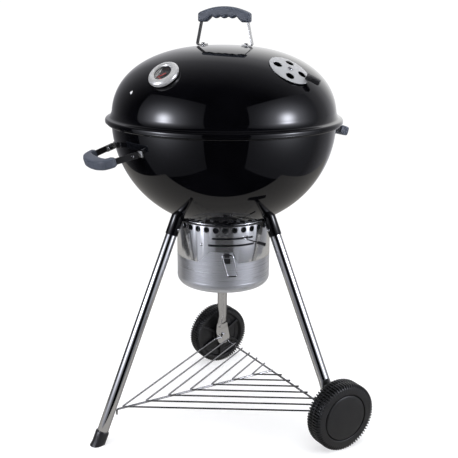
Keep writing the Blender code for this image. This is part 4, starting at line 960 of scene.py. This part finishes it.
# --------------------------------------------------------------------------- sleeve, pot and sweeper
@dataclass(frozen=True)
class Ash:
    """Perforated sleeve, drop-out pot with its latch, and the sweeper's lever."""

    radius: float = 0.1188
    wall: float = 0.0012
    top: float = 0.5552
    seam: float = 0.4561
    bottom: float = 0.376
    bend: float = 0.020
    tab_top: float = 0.4858
    vents: int = 32
    vent_z: float = 0.541
    vent_radius: float = 0.0074
    latch_azimuth: float = -26.0
    latch_z: float = 0.4795
    lever_azimuth: float = -6.0
    lever_z: float = 0.520
    slot_z: float = 0.5025
    stud_azimuth: float = -57.0

    def tab_edges(self, z: Array, grow: float) -> Tuple[Array, Array]:
        """Azimuths of the tab's two slanting sides at heights z, widened by a clearance."""
        share = (z - self.seam) / (self.tab_top - self.seam)
        more = math.degrees(grow / self.radius)
        return -61.7 + 15.8 * share - more, -13.3 - 5.7 * share + more

    def sector(self, low: Array, high: Array, z: Array, outer: float, inner: float, count: int = 24) -> Shape:
        """Curved plate between two radii, from azimuth low to high at each height."""
        t = np.radians(low[:, None] + (high - low)[:, None] * np.linspace(0, 1, count)[None])
        flat = np.stack([np.cos(t), np.sin(t)], -1)
        up = np.repeat(z[:, None, None], count, 1)
        return slab(np.concatenate([flat * outer, up], -1), np.concatenate([flat * inner, up], -1))

    def build_sleeve(self, shop: Workshop) -> None:
        """Turn the sleeve and cut its vents, lever slots, notch and rivet hole."""
        r, z = self.radius, self.seam + 0.0003
        profile = softened([(r, self.top), (r, z), (r - self.wall, z), (r - self.wall, self.top)], 0.0003,
                           True, 3)
        cuts = []
        for k in range(self.vents):
            azimuth = (k + 0.5) * 360.0 / self.vents
            place = seat(toward(azimuth, r, self.vent_z), toward(azimuth), np.array(UP))
            cuts.append(drill(place, self.vent_radius, 0.006, 28))
        for low, high, middle in ((-43.6, 7.3, self.lever_z), (-48.6, 9.4, self.slot_z)):
            heights = middle + np.array([-0.0025, 0.0025])
            cuts.append(self.sector(np.full(2, low), np.full(2, high), heights, 0.125, 0.110, 40))
        heights = np.array([self.seam - 0.01, self.tab_top + 0.0006])
        cuts.append(self.sector(*self.tab_edges(heights, 0.0014), heights, 0.125, 0.110))
        stud = seat(toward(self.stud_azimuth, r, self.slot_z), toward(self.stud_azimuth), np.array(UP))
        cuts.append(drill(stud, 0.0022, 0.006, 20))
        shop.put("sleeve_wall", revolved(profile, 256, True), Coat.SLEEVE, "kettle", ["vent_sleeve"],
                 together(cuts))
        rivet = softened([(0, 0.0028), (0.0026, 0.0022), (0.0040, 0.0003), (0.0018, 0.0003),
                          (0.0018, -0.0018),
                          (0.0034, -0.0018), (0.0034, -0.0030), (0, -0.0030)], 0.0008)
        shop.put("sleeve_stud", revolved(rivet, 28).placed(stud), Coat.CHROME, "kettle", ["sleeve_rivet"])
        shop.put("top_ring", rod(arc(0.1216, 0, 357.5, 144, 0.5524), 0.0022, closed=True), Coat.BLACK,
                 "kettle", ["sleeve_support_ring"])

    def build_pot(self, shop: Workshop) -> None:
        """Turn the pot with its rounded bottom edge, bead and lip, and raise its tab."""
        r, w, b = self.radius, self.wall, self.bend
        t = np.radians(np.linspace(0.0, -90.0, 14))
        lip = r - w - 0.0005
        outer = np.stack([r - b + b * np.cos(t), self.bottom + b + b * np.sin(t)], -1)
        inner = np.stack([r - b + (b - w) * np.cos(t), self.bottom + b + (b - w) * np.sin(t)], -1)[::-1]
        beads = softened([(r, self.seam), (r, self.bottom + b + 0.0050),
                          (r + 0.0003, self.bottom + b + 0.0036),
                          (r + 0.0003, self.bottom + b + 0.0020), (r, self.bottom + b + 0.0006)], 0.001)
        upper = [(r - w, self.seam - 0.0030), (lip - 0.001, self.seam - 0.0030),
                 (lip - 0.001, self.seam + 0.0080),
                 (lip, self.seam + 0.0080), (lip, self.seam)]
        half = np.vstack([beads, outer, [(0.0005, self.bottom), (0.0005, self.bottom + w)], inner, upper])
        shape = revolved(half, 224, closed=True)
        heights = np.linspace(self.seam - 0.002, self.tab_top, 8)
        tab = self.sector(*self.tab_edges(np.maximum(heights, self.seam), 0.0), heights, r, r - w, 48)
        plug = revolved(np.array([(0, self.bottom), (0.0006, self.bottom), (0.0006, self.bottom + w),
                                  (0, self.bottom + w)]), 24)
        shop.put("pot_body", together([shape, tab, plug]), Coat.POT, "pot", ["ash_pot"])

    def build_latch(self, shop: Workshop) -> None:
        """Dress the bracket and catch, and bend the wire loop that hangs from them."""
        shop.dress("latch_bracket", Coat.BLACK)
        shop.dress("latch_catch_plate", Coat.BLACK)
        out, aside = toward(self.latch_azimuth), toward(self.latch_azimuth + 90.0)
        bore = out * (self.radius + 0.0005 + 0.0035) + np.array([0, 0, self.latch_z])
        corners = np.array([(0.0125, 0, 0), (0.0150, 0.004, 0.0012), (0.0250, 0.049, 0.0040),
                            (0.0215, 0.0525, 0.0042), (0.0045, 0.0525, 0.0042), (0.0005, 0.0495, 0.0040),
                            (-0.0115, 0.004, 0.0012), (-0.0100, 0, 0)])
        path = bore + corners[:, :1] * aside - corners[:, 1:2] * np.array(UP) + corners[:, 2:] * out
        shop.put("latch_wire", rod(path, 0.0019, 0.0024, out, True), Coat.CHROME, "latch", ["latch_loop"])

    def build_sweeper(self, shop: Workshop) -> None:
        """Turn the shaft and lever hub, and bend the lever's wire with its tip."""
        floor = RIM_Z - BOWL_DOME.depth + 0.0015
        shop.dress("sweeper_blades", Coat.POT)
        shaft = softened([(0, floor + 0.0070), (0.0085, floor + 0.0070), (0.0085, floor + 0.0034),
                          (0.0054, floor + 0.0034), (0.0054, self.lever_z + 0.0040),
                          (0, self.lever_z + 0.0040)],
                         0.0006)
        shop.put("sweeper_spindle", revolved(shaft, 48), Coat.STEEL, "sweeper", ["sweeper_shaft"])
        hub = softened([(0, self.lever_z + 0.0037), (0.0085, self.lever_z + 0.0037),
                        (0.0085, self.lever_z - 0.0050), (0, self.lever_z - 0.0050)], 0.0006)
        out, turn = toward(self.lever_azimuth), toward(self.lever_azimuth + 90.0)
        base = np.array([0, 0, self.lever_z])
        corner = base + out * 0.130 + turn * 0.003
        end = base + out * 0.146 + turn * 0.024 - np.array([0, 0, 0.006])
        wire = rod([base + out * 0.004, base + out * 0.124, corner, end], 0.0018, 0.004)
        shop.put("lever_wire", together([revolved(hub, 40), wire]), Coat.CHROME, "sweeper", ["sweeper_lever"])
        profile = softened([(0, 0.0003), (0.0036, 0.0003), (0.0042, 0.022), (0, 0.022)], 0.0014)
        shop.put("lever_tip", revolved(profile, 32).placed(seat(end, end - corner, np.array(UP))), Coat.BLACK,
                 "sweeper", ["sweeper_tip"])

    def build(self, shop: Workshop) -> None:
        """Build the sleeve, the pot, the latch and the sweeper."""
        self.build_sleeve(shop)
        self.build_pot(shop)
        self.build_latch(shop)
        self.build_sweeper(shop)


# --------------------------------------------------------------------------- legs, wheels and rack
@dataclass(frozen=True)
class Legs:
    """Foot leg, two wheel legs with flattened ends, and the sockets under the bowl."""

    tube: float = 0.014
    tube_wall: float = 0.0013
    top: float = 0.535
    socket: float = 0.0158
    socket_bore: float = 0.0144
    socket_low: float = 0.5185
    paddle_x: float = 0.2745
    paddle_half: float = 0.002

    def wheel_leg(self, label: str) -> Shape:
        """Tube whose half width and half thickness run smoothly to a flat paddle.

        Half widths, half thicknesses and x at each height are read off short tables by straight lines.
        """
        sign = 1.0 if label == "right" else -1.0
        z = np.concatenate([[self.top, 0.30], np.linspace(0.175, 0.064, 56)])
        table = np.array([(0.064, 0.0105, self.paddle_half), (0.069, 0.0175, self.paddle_half),
                          (0.078, 0.021, self.paddle_half), (0.100, 0.021, self.paddle_half),
                          (0.111, 0.0208, 0.0028), (0.125, 0.0195, 0.0055), (0.145, 0.0165, 0.0105),
                          (0.165, self.tube, self.tube), (0.60, self.tube, self.tube)])
        wide, thick = np.interp(z, table[:, 0], table[:, 1]), np.interp(z, table[:, 0], table[:, 2])
        line = LegLine(WHEEL_AZIMUTHS[label]).at(z)
        x = np.array([self.paddle_x, self.paddle_x, 0.2733, 0.2692])
        bent = np.interp(z, [0.064, 0.100, 0.111, 0.125], x)
        share = np.clip((z - 0.125) / 0.020, 0.0, 1.0)
        line[:, 0] = sign * (bent * (1 - share) + np.abs(line[:, 0]) * share)
        t = np.linspace(0, 2 * np.pi, 32, endpoint=False)
        loops = np.stack([np.sin(t)[None] * thick[:, None], np.cos(t)[None] * wide[:, None]], -1)
        tangent = np.gradient(line, axis=0)
        across = np.cross(tangent, (1.0, 0.0, 0.0))
        across /= np.linalg.norm(across, axis=1, keepdims=True)
        deep = np.cross(across, tangent)
        deep /= np.linalg.norm(deep, axis=1, keepdims=True)
        return skin(line[:, None] + loops[..., :1] * deep[:, None] + loops[..., 1:] * across[:, None])

    def socket_shape(self, line: LegLine) -> Shape:
        """Tube from its low edge up to the bowl, each column ended where it meets the bowl's outside.

        The meeting height is found by halving: thirty times, the half of the column that crosses the
        bowl's surface z = rim - height(r) is kept.
        """
        place = line.frame(self.socket_low)
        t = np.linspace(0, 2 * np.pi, 56, endpoint=False)
        low, high = np.zeros(56), np.full(56, 0.09)
        for _ in range(30):
            middle = (low + high) / 2
            local = np.stack([self.socket * np.cos(t), self.socket * np.sin(t), middle], -1)
            spot = local @ place[:3, :3].T + place[:3, 3]
            under = spot[:, 2] < RIM_Z - BOWL_DOME.height(np.hypot(spot[:, 0], spot[:, 1])) - 0.0001
            low, high = np.where(under, middle, low), np.where(under, high, middle)
        rows = []
        level = np.zeros(56)
        for radius, reach in ((self.socket, low), (self.socket, level + 0.0008),
                              (self.socket - 0.0005, level), (self.socket_bore, level),
                              (self.socket_bore, low)):
            rows.append(np.stack([radius * np.cos(t), radius * np.sin(t), reach], -1))
        return skin(np.stack(rows), closed=True).placed(place)

    def build(self, shop: Workshop) -> None:
        """Place each leg, its socket and its screw, and the foot's cap."""
        foot = LegLine(FOOT_AZIMUTH)
        low = 0.0098
        length = float(np.linalg.norm(foot.at(self.top) - foot.at(low)))
        tube = softened([(self.tube, length), (self.tube, 0), (self.tube - self.tube_wall, 0),
                         (self.tube - self.tube_wall, length)], 0.0003, True, 3)
        shop.put("foot_tube", revolved(tube, 64, True).placed(foot.frame(low)), Coat.CHROME, "kettle",
                 ["leg_foot"])
        heights = np.array([-0.012, 0.004, 0.020, 0.0315, 0.0328, 0.033])
        radii = np.array([0.0170, 0.0170, 0.0170, 0.0170, 0.0162, 0.0150])
        cap = carried(foot.at(heights), ring_section(1.0, 1.0, count=48), (1, 0, 0), scale=radii)
        flat = cap.points.copy()
        flat[:, 2] = np.maximum(flat[:, 2], 0.0)
        bore = drill(foot.frame(low - 0.0003 + 0.02), self.tube + 0.0003, 0.0216, 48)
        shop.put("foot_boot", Shape(flat, cap.quads, cap.triangles), Coat.BLACK, "kettle", ["foot_cap"], bore)
        for label in WHEEL_AZIMUTHS:
            shop.put(f"wheel_tube_{label}", self.wheel_leg(label), Coat.CHROME, "kettle", [f"leg_{label}"])
        head = softened([(0, 0.0032), (0.0026, 0.0028), (0.0044, 0.0010), (0.0044, 0.0002), (0, 0.0002)],
                        0.0007)
        for label, azimuth in (("foot", FOOT_AZIMUTH), *WHEEL_AZIMUTHS.items()):
            line = LegLine(azimuth)
            shop.put(f"socket_{label}", self.socket_shape(line), Coat.ENAMEL, "kettle",
                     [f"leg_socket_{label}"])
            hand = 1.0 if label == "foot" else -1.0
            out = unit(-toward(azimuth) * 0.35 + toward(azimuth + 90.0) * hand)
            spot = seat(line.at(0.5335) + out * (self.socket + 0.0006), out, np.array(UP))
            slot = box((0.0046, 0.0009, 0.002), 0.0001).placed(shifted(spun(spot, 45.0), z=0.0036))
            shop.put(f"socket_bolt_{label}", revolved(head, 32).placed(spot), Coat.CHROME, "kettle",
                     [f"socket_screw_{label}"], slot)


@dataclass(frozen=True)
class Wheel:
    """Moulded wheel with two rows of tread, a spoked inner face and a dished hubcap."""

    label: str
    radius: float = 0.0874
    at_x: float = 0.308
    teeth: int = 72
    tooth: float = 0.0062
    tooth_steps: int = 12
    tooth_edge: float = 3.0
    ring_half: float = 0.0015
    tread_from: float = 0.0770
    tread_ramp: float = 0.0060
    spokes: int = 6
    rib_ring: float = 0.0240

    def place(self) -> Array:
        """Frame at the wheel's middle whose Z points away from the grill."""
        sign = 1.0 if self.label == "right" else -1.0
        y = float(LegLine(WHEEL_AZIMUTHS["right"]).at(self.radius)[1])
        return seat(np.array([sign * self.at_x, y, self.radius]), np.array([sign, 0, 0]), np.array(UP))

    def tyre(self) -> Shape:
        """Rim whose radius is cut back between teeth.

        r = outline radius - tooth depth * share(r) * gap(t), where gap is a softened square wave round
        the wheel and share rises from none on the side walls to one on the two rows.  The ring
        between the rows isn't cut.
        """
        line = softened([(0.0545, 0.0060), (0.0606, 0.0120), (0.0606, 0.0215), (0.0630, 0.0225),
                         (0.0790, 0.0218), (0.0864, 0.0200),
                         (0.0874, 0.0170), (0.0874, 0.0026), (0.0852, 0.0020), (0.0866, 0.0011),
                         (0.0866, -0.0011), (0.0852, -0.0020), (0.0874, -0.0026), (0.0874, -0.0180),
                         (0.0862, -0.0205), (0.0840, -0.0230),
                         (0.0700, -0.0230), (0.0660, -0.0120), (0.0545, -0.0120)], 0.0011, True, 4)
        columns = self.teeth * self.tooth_steps
        t = np.linspace(0, 2 * np.pi, columns, endpoint=False)[None]
        r, z = line[:, :1], line[:, 1:]
        gap = np.clip(0.5 - self.tooth_edge * np.cos(self.teeth * t), 0.0, 1.0) * (np.abs(z) > self.ring_half)
        share = np.clip((r - self.tread_from) / self.tread_ramp, 0.0, 1.0)
        radius = r - self.tooth * share * gap
        return skin(np.stack([radius * np.cos(t), radius * np.sin(t), z + 0 * t], -1), closed=True)

    def build(self, shop: Workshop) -> None:
        """Build the tyre with its web, hub and spokes, the hubcap and the pin."""
        place, body = self.place(), f"wheel_{self.label}"
        web = softened([(0.0051, 0.0140), (0.0140, 0.0140), (0.0140, 0.0060), (0.0560, 0.0060),
                        (0.0560, -0.0040),
                        (0.0680, -0.0060), (0.0680, -0.0100), (0.0140, -0.0100), (0.0140, -0.0308),
                        (0.0051, -0.0308)], 0.0008, True)
        ribs = [box((0.0560, 0.0060, 0.0110), 0.0010).placed(
            shifted(about_axis(k * 360 / self.spokes), 0.0400, z=-0.0140)) for k in range(self.spokes)]
        a = self.rib_ring
        ring = revolved(softened([(a + 0.002, -0.009), (a + 0.002, -0.0195), (a - 0.002, -0.0195),
                                  (a - 0.002, -0.009)], 0.0008, True), 96, True)
        wheel = together([self.tyre(), revolved(web, 128, True), *ribs, ring]).placed(place)
        shop.put(f"tyre_{self.label}", wheel, Coat.TYRE, body, [f"wheel_{self.label}"])
        cap = softened([(0, 0.0246), (0.0250, 0.0243), (0.0480, 0.0236), (0.0565, 0.0230), (0.0592, 0.0205),
                        (0.0592, 0.0160), (0.0540, 0.0150), (0, 0.0150)], 0.0014)
        shop.put(f"dish_{self.label}", revolved(cap, 128).placed(place), Coat.TYRE, body,
                 [f"hubcap_{self.label}"])
        shop.dress(f"axle_pin_{self.label}", Coat.CHROME)


@dataclass(frozen=True)
class Rack:
    """Triangular rack of nested wire arms on a spine and a crossbar."""

    z: float = 0.0862
    bar_y: float = 0.1577
    pitch_y: float = 0.0644
    pitch_x: float = 0.0408
    wire: float = 0.0022
    bar: float = 0.0026

    def build(self, shop: Workshop) -> None:
        """Bend the arms |x| = slope (y - apex), and weld them on the crossbar and the hooked spine."""
        low = self.z - self.wire - self.bar + 0.0009
        slope = self.pitch_x / self.pitch_y
        along = Legs.tube / math.cos(math.atan(LegLine.slope))
        end = float(LegLine(FOOT_AZIMUTH).at(self.z)[1]) + along + 0.003
        spine = [(0, self.bar_y + 0.003, low), (0, end, low), (0, end - 0.0005, low - 0.014)]
        half = 6 * self.pitch_x
        parts = [rod(spine, self.bar, 0.004, (1, 0, 0), sides=14),
                 rod([(-half, self.bar_y, low), (half, self.bar_y, low)], self.bar, sides=14)]
        for order in range(1, 7):
            apex, top = self.bar_y - order * self.pitch_y, self.bar_y + 0.005
            reach = (top - apex) * slope
            arm = [(-reach, top, self.z), (0, apex, self.z), (reach, top, self.z)]
            parts.append(rod(arm, self.wire, 0.006))
        apex, side = self.bar_y - 7 * self.pitch_y, Legs.paddle_x - Legs.paddle_half - self.wire - 0.004
        turn = apex + side / slope
        outer = [(-side, 0.1480, self.z), (-side, turn, self.z), (0, apex, self.z), (side, turn, self.z),
                 (side, 0.1480, self.z)]
        parts.append(rod(outer, self.wire, 0.006))
        shop.put("wire_rack", together(parts), Coat.RACK, "kettle", ["bottom_rack"])


@dataclass(frozen=True)
class Grate:
    """Round wire grate of parallel bars on a ring and two cross wires."""

    name: str
    radius: float
    z: float
    bars: int
    pitch: float

    def build(self, shop: Workshop) -> None:
        """Lay bars of half length sqrt(radius^2 - x^2) over the ring."""
        parts = [rod(arc(self.radius, 0, 357.5, 144, self.z), 0.0030, closed=True)]
        for k in range(self.bars):
            x = (k - (self.bars - 1) / 2) * self.pitch
            reach = math.sqrt(self.radius ** 2 - x ** 2)
            parts.append(rod([(x, -reach, self.z + 0.0025), (x, reach, self.z + 0.0025)], 0.0021))
        for share in (-0.42, 0.42):
            y = share * self.radius
            reach = math.sqrt(self.radius ** 2 - y ** 2)
            parts.append(rod([(-reach, y, self.z - 0.0008), (reach, y, self.z - 0.0008)], 0.0021))
        shop.put(f"{self.name}_wires", together(parts), Coat.WIRE, self.name, [self.name])


# --------------------------------------------------------------------------- studio
class Seen(Enum):
    """Which rays see a studio surface: the camera, mirror-like reflections, soft bounces."""

    CAMERA_AND_SOFT = (True, False, True)
    REFLECTIONS = (False, True, False)
    REFLECTIONS_AND_SOFT = (False, True, True)


def studio_surface(name: str, points: Array, material: bpy.types.Material, seen: Seen) -> bpy.types.Object:
    """Flat studio surface between four points that only some rays see.

    Args:
        name: name of the surface.
        points: its four corners in order.
        material: its material.
        seen: the rays that see it.

    Returns:
        The surface, marked as no part of the grill.
    """
    mesh = bpy.data.meshes.new(name)
    mesh.from_pydata(np.asarray(points, float).tolist(), [], [(0, 1, 2, 3)])
    mesh.materials.append(material)
    surface = bpy.data.objects.new(name, mesh)
    bpy.context.scene.collection.objects.link(surface)
    surface.visible_camera, surface.visible_glossy, surface.visible_diffuse = seen.value
    surface.visible_shadow = seen is Seen.CAMERA_AND_SOFT
    surface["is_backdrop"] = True
    return surface


def glowing(name: str, colour: Triple, base: float,
            glows: Sequence[Tuple[Triple, float, float]]) -> bpy.types.Material:
    """Light-giving material: base + sum of peak * exp(-(distance / spread)^2) about each glow's middle.

    Args:
        name: name of the material.
        colour: colour of the light.
        base: strength away from the glows.
        glows: middle, peak and spread of each glow.

    Returns:
        The material.
    """
    material = bpy.data.materials.new(name)
    material.use_nodes = True
    nodes, links = material.node_tree.nodes, material.node_tree.links
    nodes.remove(nodes["Principled BSDF"])
    lamp = nodes.new("ShaderNodeEmission")
    lamp.inputs["Color"].default_value = (*colour, 1.0)
    lamp.inputs["Strength"].default_value = base
    links.new(lamp.outputs["Emission"], nodes["Material Output"].inputs["Surface"])
    place = nodes.new("ShaderNodeTexCoord")
    total: Optional[bpy.types.NodeSocket] = None
    for middle, peak, spread in glows:
        away = nodes.new("ShaderNodeVectorMath")
        away.operation = "DISTANCE"
        away.inputs[1].default_value = middle
        links.new(place.outputs["Object"], away.inputs[0])
        steps = (("DIVIDE", spread), ("POWER", 2.0), ("MULTIPLY", -1.0), ("EXPONENT", None),
                 ("MULTIPLY", peak))
        value = away.outputs["Value"]
        for operation, number in steps:
            step = nodes.new("ShaderNodeMath")
            step.operation = operation
            links.new(value, step.inputs[0])
            if number is not None:
                step.inputs[1].default_value = number
            value = step.outputs["Value"]
        plus = nodes.new("ShaderNodeMath")
        plus.inputs[1].default_value = base
        links.new(value, plus.inputs[0])
        if total is not None:
            links.new(total, plus.inputs[1])
        total = plus.outputs["Value"]
    if total is not None:
        links.new(total, lamp.inputs["Strength"])
    return material


@dataclass(frozen=True)
class Panel:
    """Upright studio panel that faces the grill, with a soft bright spot."""

    name: str
    azimuth: float
    distance: float
    half_width: float
    low: float
    high: Pair
    spot: Pair
    base: float
    peak: float

    def build(self) -> None:
        """Stand the panel across its azimuth; the spot is given along it and by height."""
        middle, along = toward(self.azimuth, self.distance), toward(self.azimuth + 90.0)
        left, right = middle - along * self.half_width, middle + along * self.half_width
        points = np.array([left + (0, 0, self.low), right + (0, 0, self.low),
                           right + (0, 0, self.high[1]), left + (0, 0, self.high[0])])
        bright = tuple(float(v) for v in middle + along * self.spot[0] + np.array([0, 0, self.spot[1]]))
        material = glowing(self.name, (0.88, 0.90, 1.0), self.base,
                           [(bright, self.peak, 0.30), (bright, 0.16 * self.peak, 0.75), (bright, 0.6, 1.4)])
        studio_surface(self.name, points, material, Seen.REFLECTIONS_AND_SOFT)


@dataclass(frozen=True)
class Studio:
    """White floor and backdrop, two glowing panels, a soft top light and the camera."""

    camera_at: Triple = (1.7859, -1.0340, 1.0755)
    look_azimuth: float = 149.54
    look_down: float = 0.2659
    roll: float = 0.0073
    lens: float = 65.44
    room: float = 1.45
    white: float = 1.05
    paper_glow: float = 0.58
    glow_azimuth: float = 132.0

    def paper(self) -> bpy.types.Material:
        """Mottled white paper that gives half of its brightness itself, and all of it far away."""
        paper = Finish("studio_paper", "", (0.50, 0.50, 0.50), (0.52, 0.52, 0.52), (0.75, 0.85), cloud=0.6,
                       specular=0.0).material()
        nodes, links = paper.node_tree.nodes, paper.node_tree.links
        place = nodes.new("ShaderNodeTexCoord")
        away = nodes.new("ShaderNodeVectorMath")
        away.operation = "LENGTH"
        share = nodes.new("ShaderNodeMapRange")
        share.interpolation_type = "SMOOTHSTEP"
        share.inputs["From Min"].default_value = 0.7
        share.inputs["From Max"].default_value = 2.6
        near, far = nodes.new("ShaderNodeEmission"), nodes.new("ShaderNodeEmission")
        near.inputs["Strength"].default_value = self.paper_glow
        far.inputs["Strength"].default_value = self.white
        plus, mix = nodes.new("ShaderNodeAddShader"), nodes.new("ShaderNodeMixShader")
        links.new(place.outputs["Object"], away.inputs[0])
        links.new(away.outputs["Value"], share.inputs["Value"])
        links.new(share.outputs["Result"], mix.inputs["Fac"])
        links.new(nodes["Principled BSDF"].outputs["BSDF"], plus.inputs[0])
        links.new(near.outputs["Emission"], plus.inputs[1])
        links.new(plus.outputs["Shader"], mix.inputs[1])
        links.new(far.outputs["Emission"], mix.inputs[2])
        links.new(mix.outputs["Shader"], nodes["Material Output"].inputs["Surface"])
        return paper

    def floor(self) -> None:
        """White floor for the camera, and a smaller grey sheet that only reflections show."""
        wide = [(-14, -14, 0), (14, -14, 0), (14, 14, 0), (-14, 14, 0)]
        studio_surface("floor", np.array(wide), self.paper(), Seen.CAMERA_AND_SOFT)
        ahead, aside = toward(self.look_azimuth + 180.0), toward(self.look_azimuth + 270.0)
        sheet = [ahead * 0.34 - aside * 0.85, ahead * 0.34 + aside * 0.85, -ahead * 1.9 + aside * 1.5,
                 -ahead * 1.9 - aside * 1.5]
        studio_surface("sheet", np.array(sheet), glowing("sheet_grey", (1.0, 0.97, 0.93), 0.40, []),
                       Seen.REFLECTIONS)

    def world(self) -> None:
        """White for the camera; for other rays a glow about one direction behind the grill.

        The glow's strength follows the cosine of the angle between the ray and that direction.
        """
        world = bpy.data.worlds.new("studio")
        world.use_nodes = True
        bpy.context.scene.world = world
        nodes, links = world.node_tree.nodes, world.node_tree.links
        room = nodes["Background"]
        room.inputs["Strength"].default_value = self.room
        backdrop = nodes.new("ShaderNodeBackground")
        backdrop.inputs["Color"].default_value = (1.0, 1.0, 1.0, 1.0)
        backdrop.inputs["Strength"].default_value = self.white
        direction = nodes.new("ShaderNodeTexCoord")
        cosine = nodes.new("ShaderNodeVectorMath")
        cosine.operation = "DOT_PRODUCT"
        cosine.inputs[1].default_value = tuple(float(v) for v in unit(toward(self.glow_azimuth, 1.0, 0.28)))
        shift = nodes.new("ShaderNodeMapRange")
        shift.inputs["From Min"].default_value = -1.0
        ramp = nodes.new("ShaderNodeValToRGB")
        stops = ((0.42, 0.001), (0.52, 0.012), (0.63, 0.06), (0.75, 0.13), (0.883, 0.25), (0.953, 0.50),
                 (1.0, 1.0))
        elements = ramp.color_ramp.elements
        elements[0].position, elements[1].position = stops[0][0], stops[-1][0]
        for position, _ in stops[1:-1]:
            elements.new(position)
        for element, (_, level) in zip(elements, stops):
            element.color = (level, level, level * (1.10 - 0.10 * level), 1.0)
        path = nodes.new("ShaderNodeLightPath")
        mix = nodes.new("ShaderNodeMixShader")
        links.new(direction.outputs["Generated"], cosine.inputs[0])
        links.new(cosine.outputs["Value"], shift.inputs["Value"])
        links.new(shift.outputs["Result"], ramp.inputs["Fac"])
        links.new(ramp.outputs["Color"], room.inputs["Color"])
        links.new(path.outputs["Is Camera Ray"], mix.inputs["Fac"])
        links.new(room.outputs["Background"], mix.inputs[1])
        links.new(backdrop.outputs["Background"], mix.inputs[2])
        links.new(mix.outputs["Shader"], nodes["World Output"].inputs["Surface"])

    def top_light(self) -> None:
        """Wide soft light overhead that mirror-like reflections don't show."""
        light = bpy.data.lights.new("top_light", "AREA")
        light.shape = "DISK"
        light.size = 5.0
        light.energy = 230.0
        lamp = bpy.data.objects.new("top_light", light)
        lamp.matrix_world = Matrix.Translation((0.4, -0.2, 4.2))
        lamp.visible_glossy = False
        lamp.visible_camera = False
        bpy.context.scene.collection.objects.link(lamp)

    def camera(self) -> None:
        """Camera whose -Z is the look direction, turned by a small roll about it."""
        azimuth = math.radians(self.look_azimuth)
        ahead = np.array([math.cos(azimuth) * math.cos(self.look_down),
                          math.sin(azimuth) * math.cos(self.look_down), -math.sin(self.look_down)])
        right = unit(np.cross(ahead, UP))
        rise = np.cross(right, ahead)
        across = right * math.cos(self.roll) + rise * math.sin(self.roll)
        matrix = np.eye(4)
        matrix[:3, :3] = np.stack([across, np.cross(-ahead, across), -ahead], -1)
        matrix[:3, 3] = self.camera_at
        lens = bpy.data.cameras.new("camera")
        lens.lens = self.lens
        lens.sensor_width = 36.0
        camera = bpy.data.objects.new("camera", lens)
        camera.matrix_world = Matrix(matrix.tolist())
        bpy.context.scene.collection.objects.link(camera)
        bpy.context.scene.camera = camera

    def build(self) -> None:
        """Set up the floor, the room, the lights and the camera."""
        bpy.context.scene.view_settings.view_transform = "Standard"
        self.floor()
        self.world()
        self.top_light()
        self.camera()
        Panel("panel_left", -85.5, 2.44, 1.78, -1.9, (2.9, 3.05), (-0.13, 1.08), 0.12, 19.0).build()
        Panel("panel_right", 33.0, 2.40, 1.98, -1.9, (2.75, 2.75), (-0.06, 1.12), 0.16, 19.0).build()


def corners() -> List[List[float]]:
    """Lowest and highest corner of everything shown, as plain lists."""
    return [[float(value) for value in corner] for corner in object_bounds()]


def main() -> None:
    """Build every sub-assembly in order, then the studio."""
    logging.basicConfig(level=logging.INFO, format="%(message)s")
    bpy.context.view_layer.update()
    shop = Workshop(frame["nodes"])
    builders = [Lid(), LidHandle(), Damper(), Thermometer(), Bowl(), SideHandles(), Ash(), Legs(),
                Wheel("right"), Wheel("left"), Rack(),
                Grate("cooking_grate", 0.262, 0.775, 27, 0.019),
                Grate("charcoal_grate", 0.2125, 0.634, 17, 0.0235)]
    for builder in builders:
        LOG.info("building %s", type(builder).__name__)
        builder.build(shop)
    Studio().build()


if __name__ == "__main__":
    main()
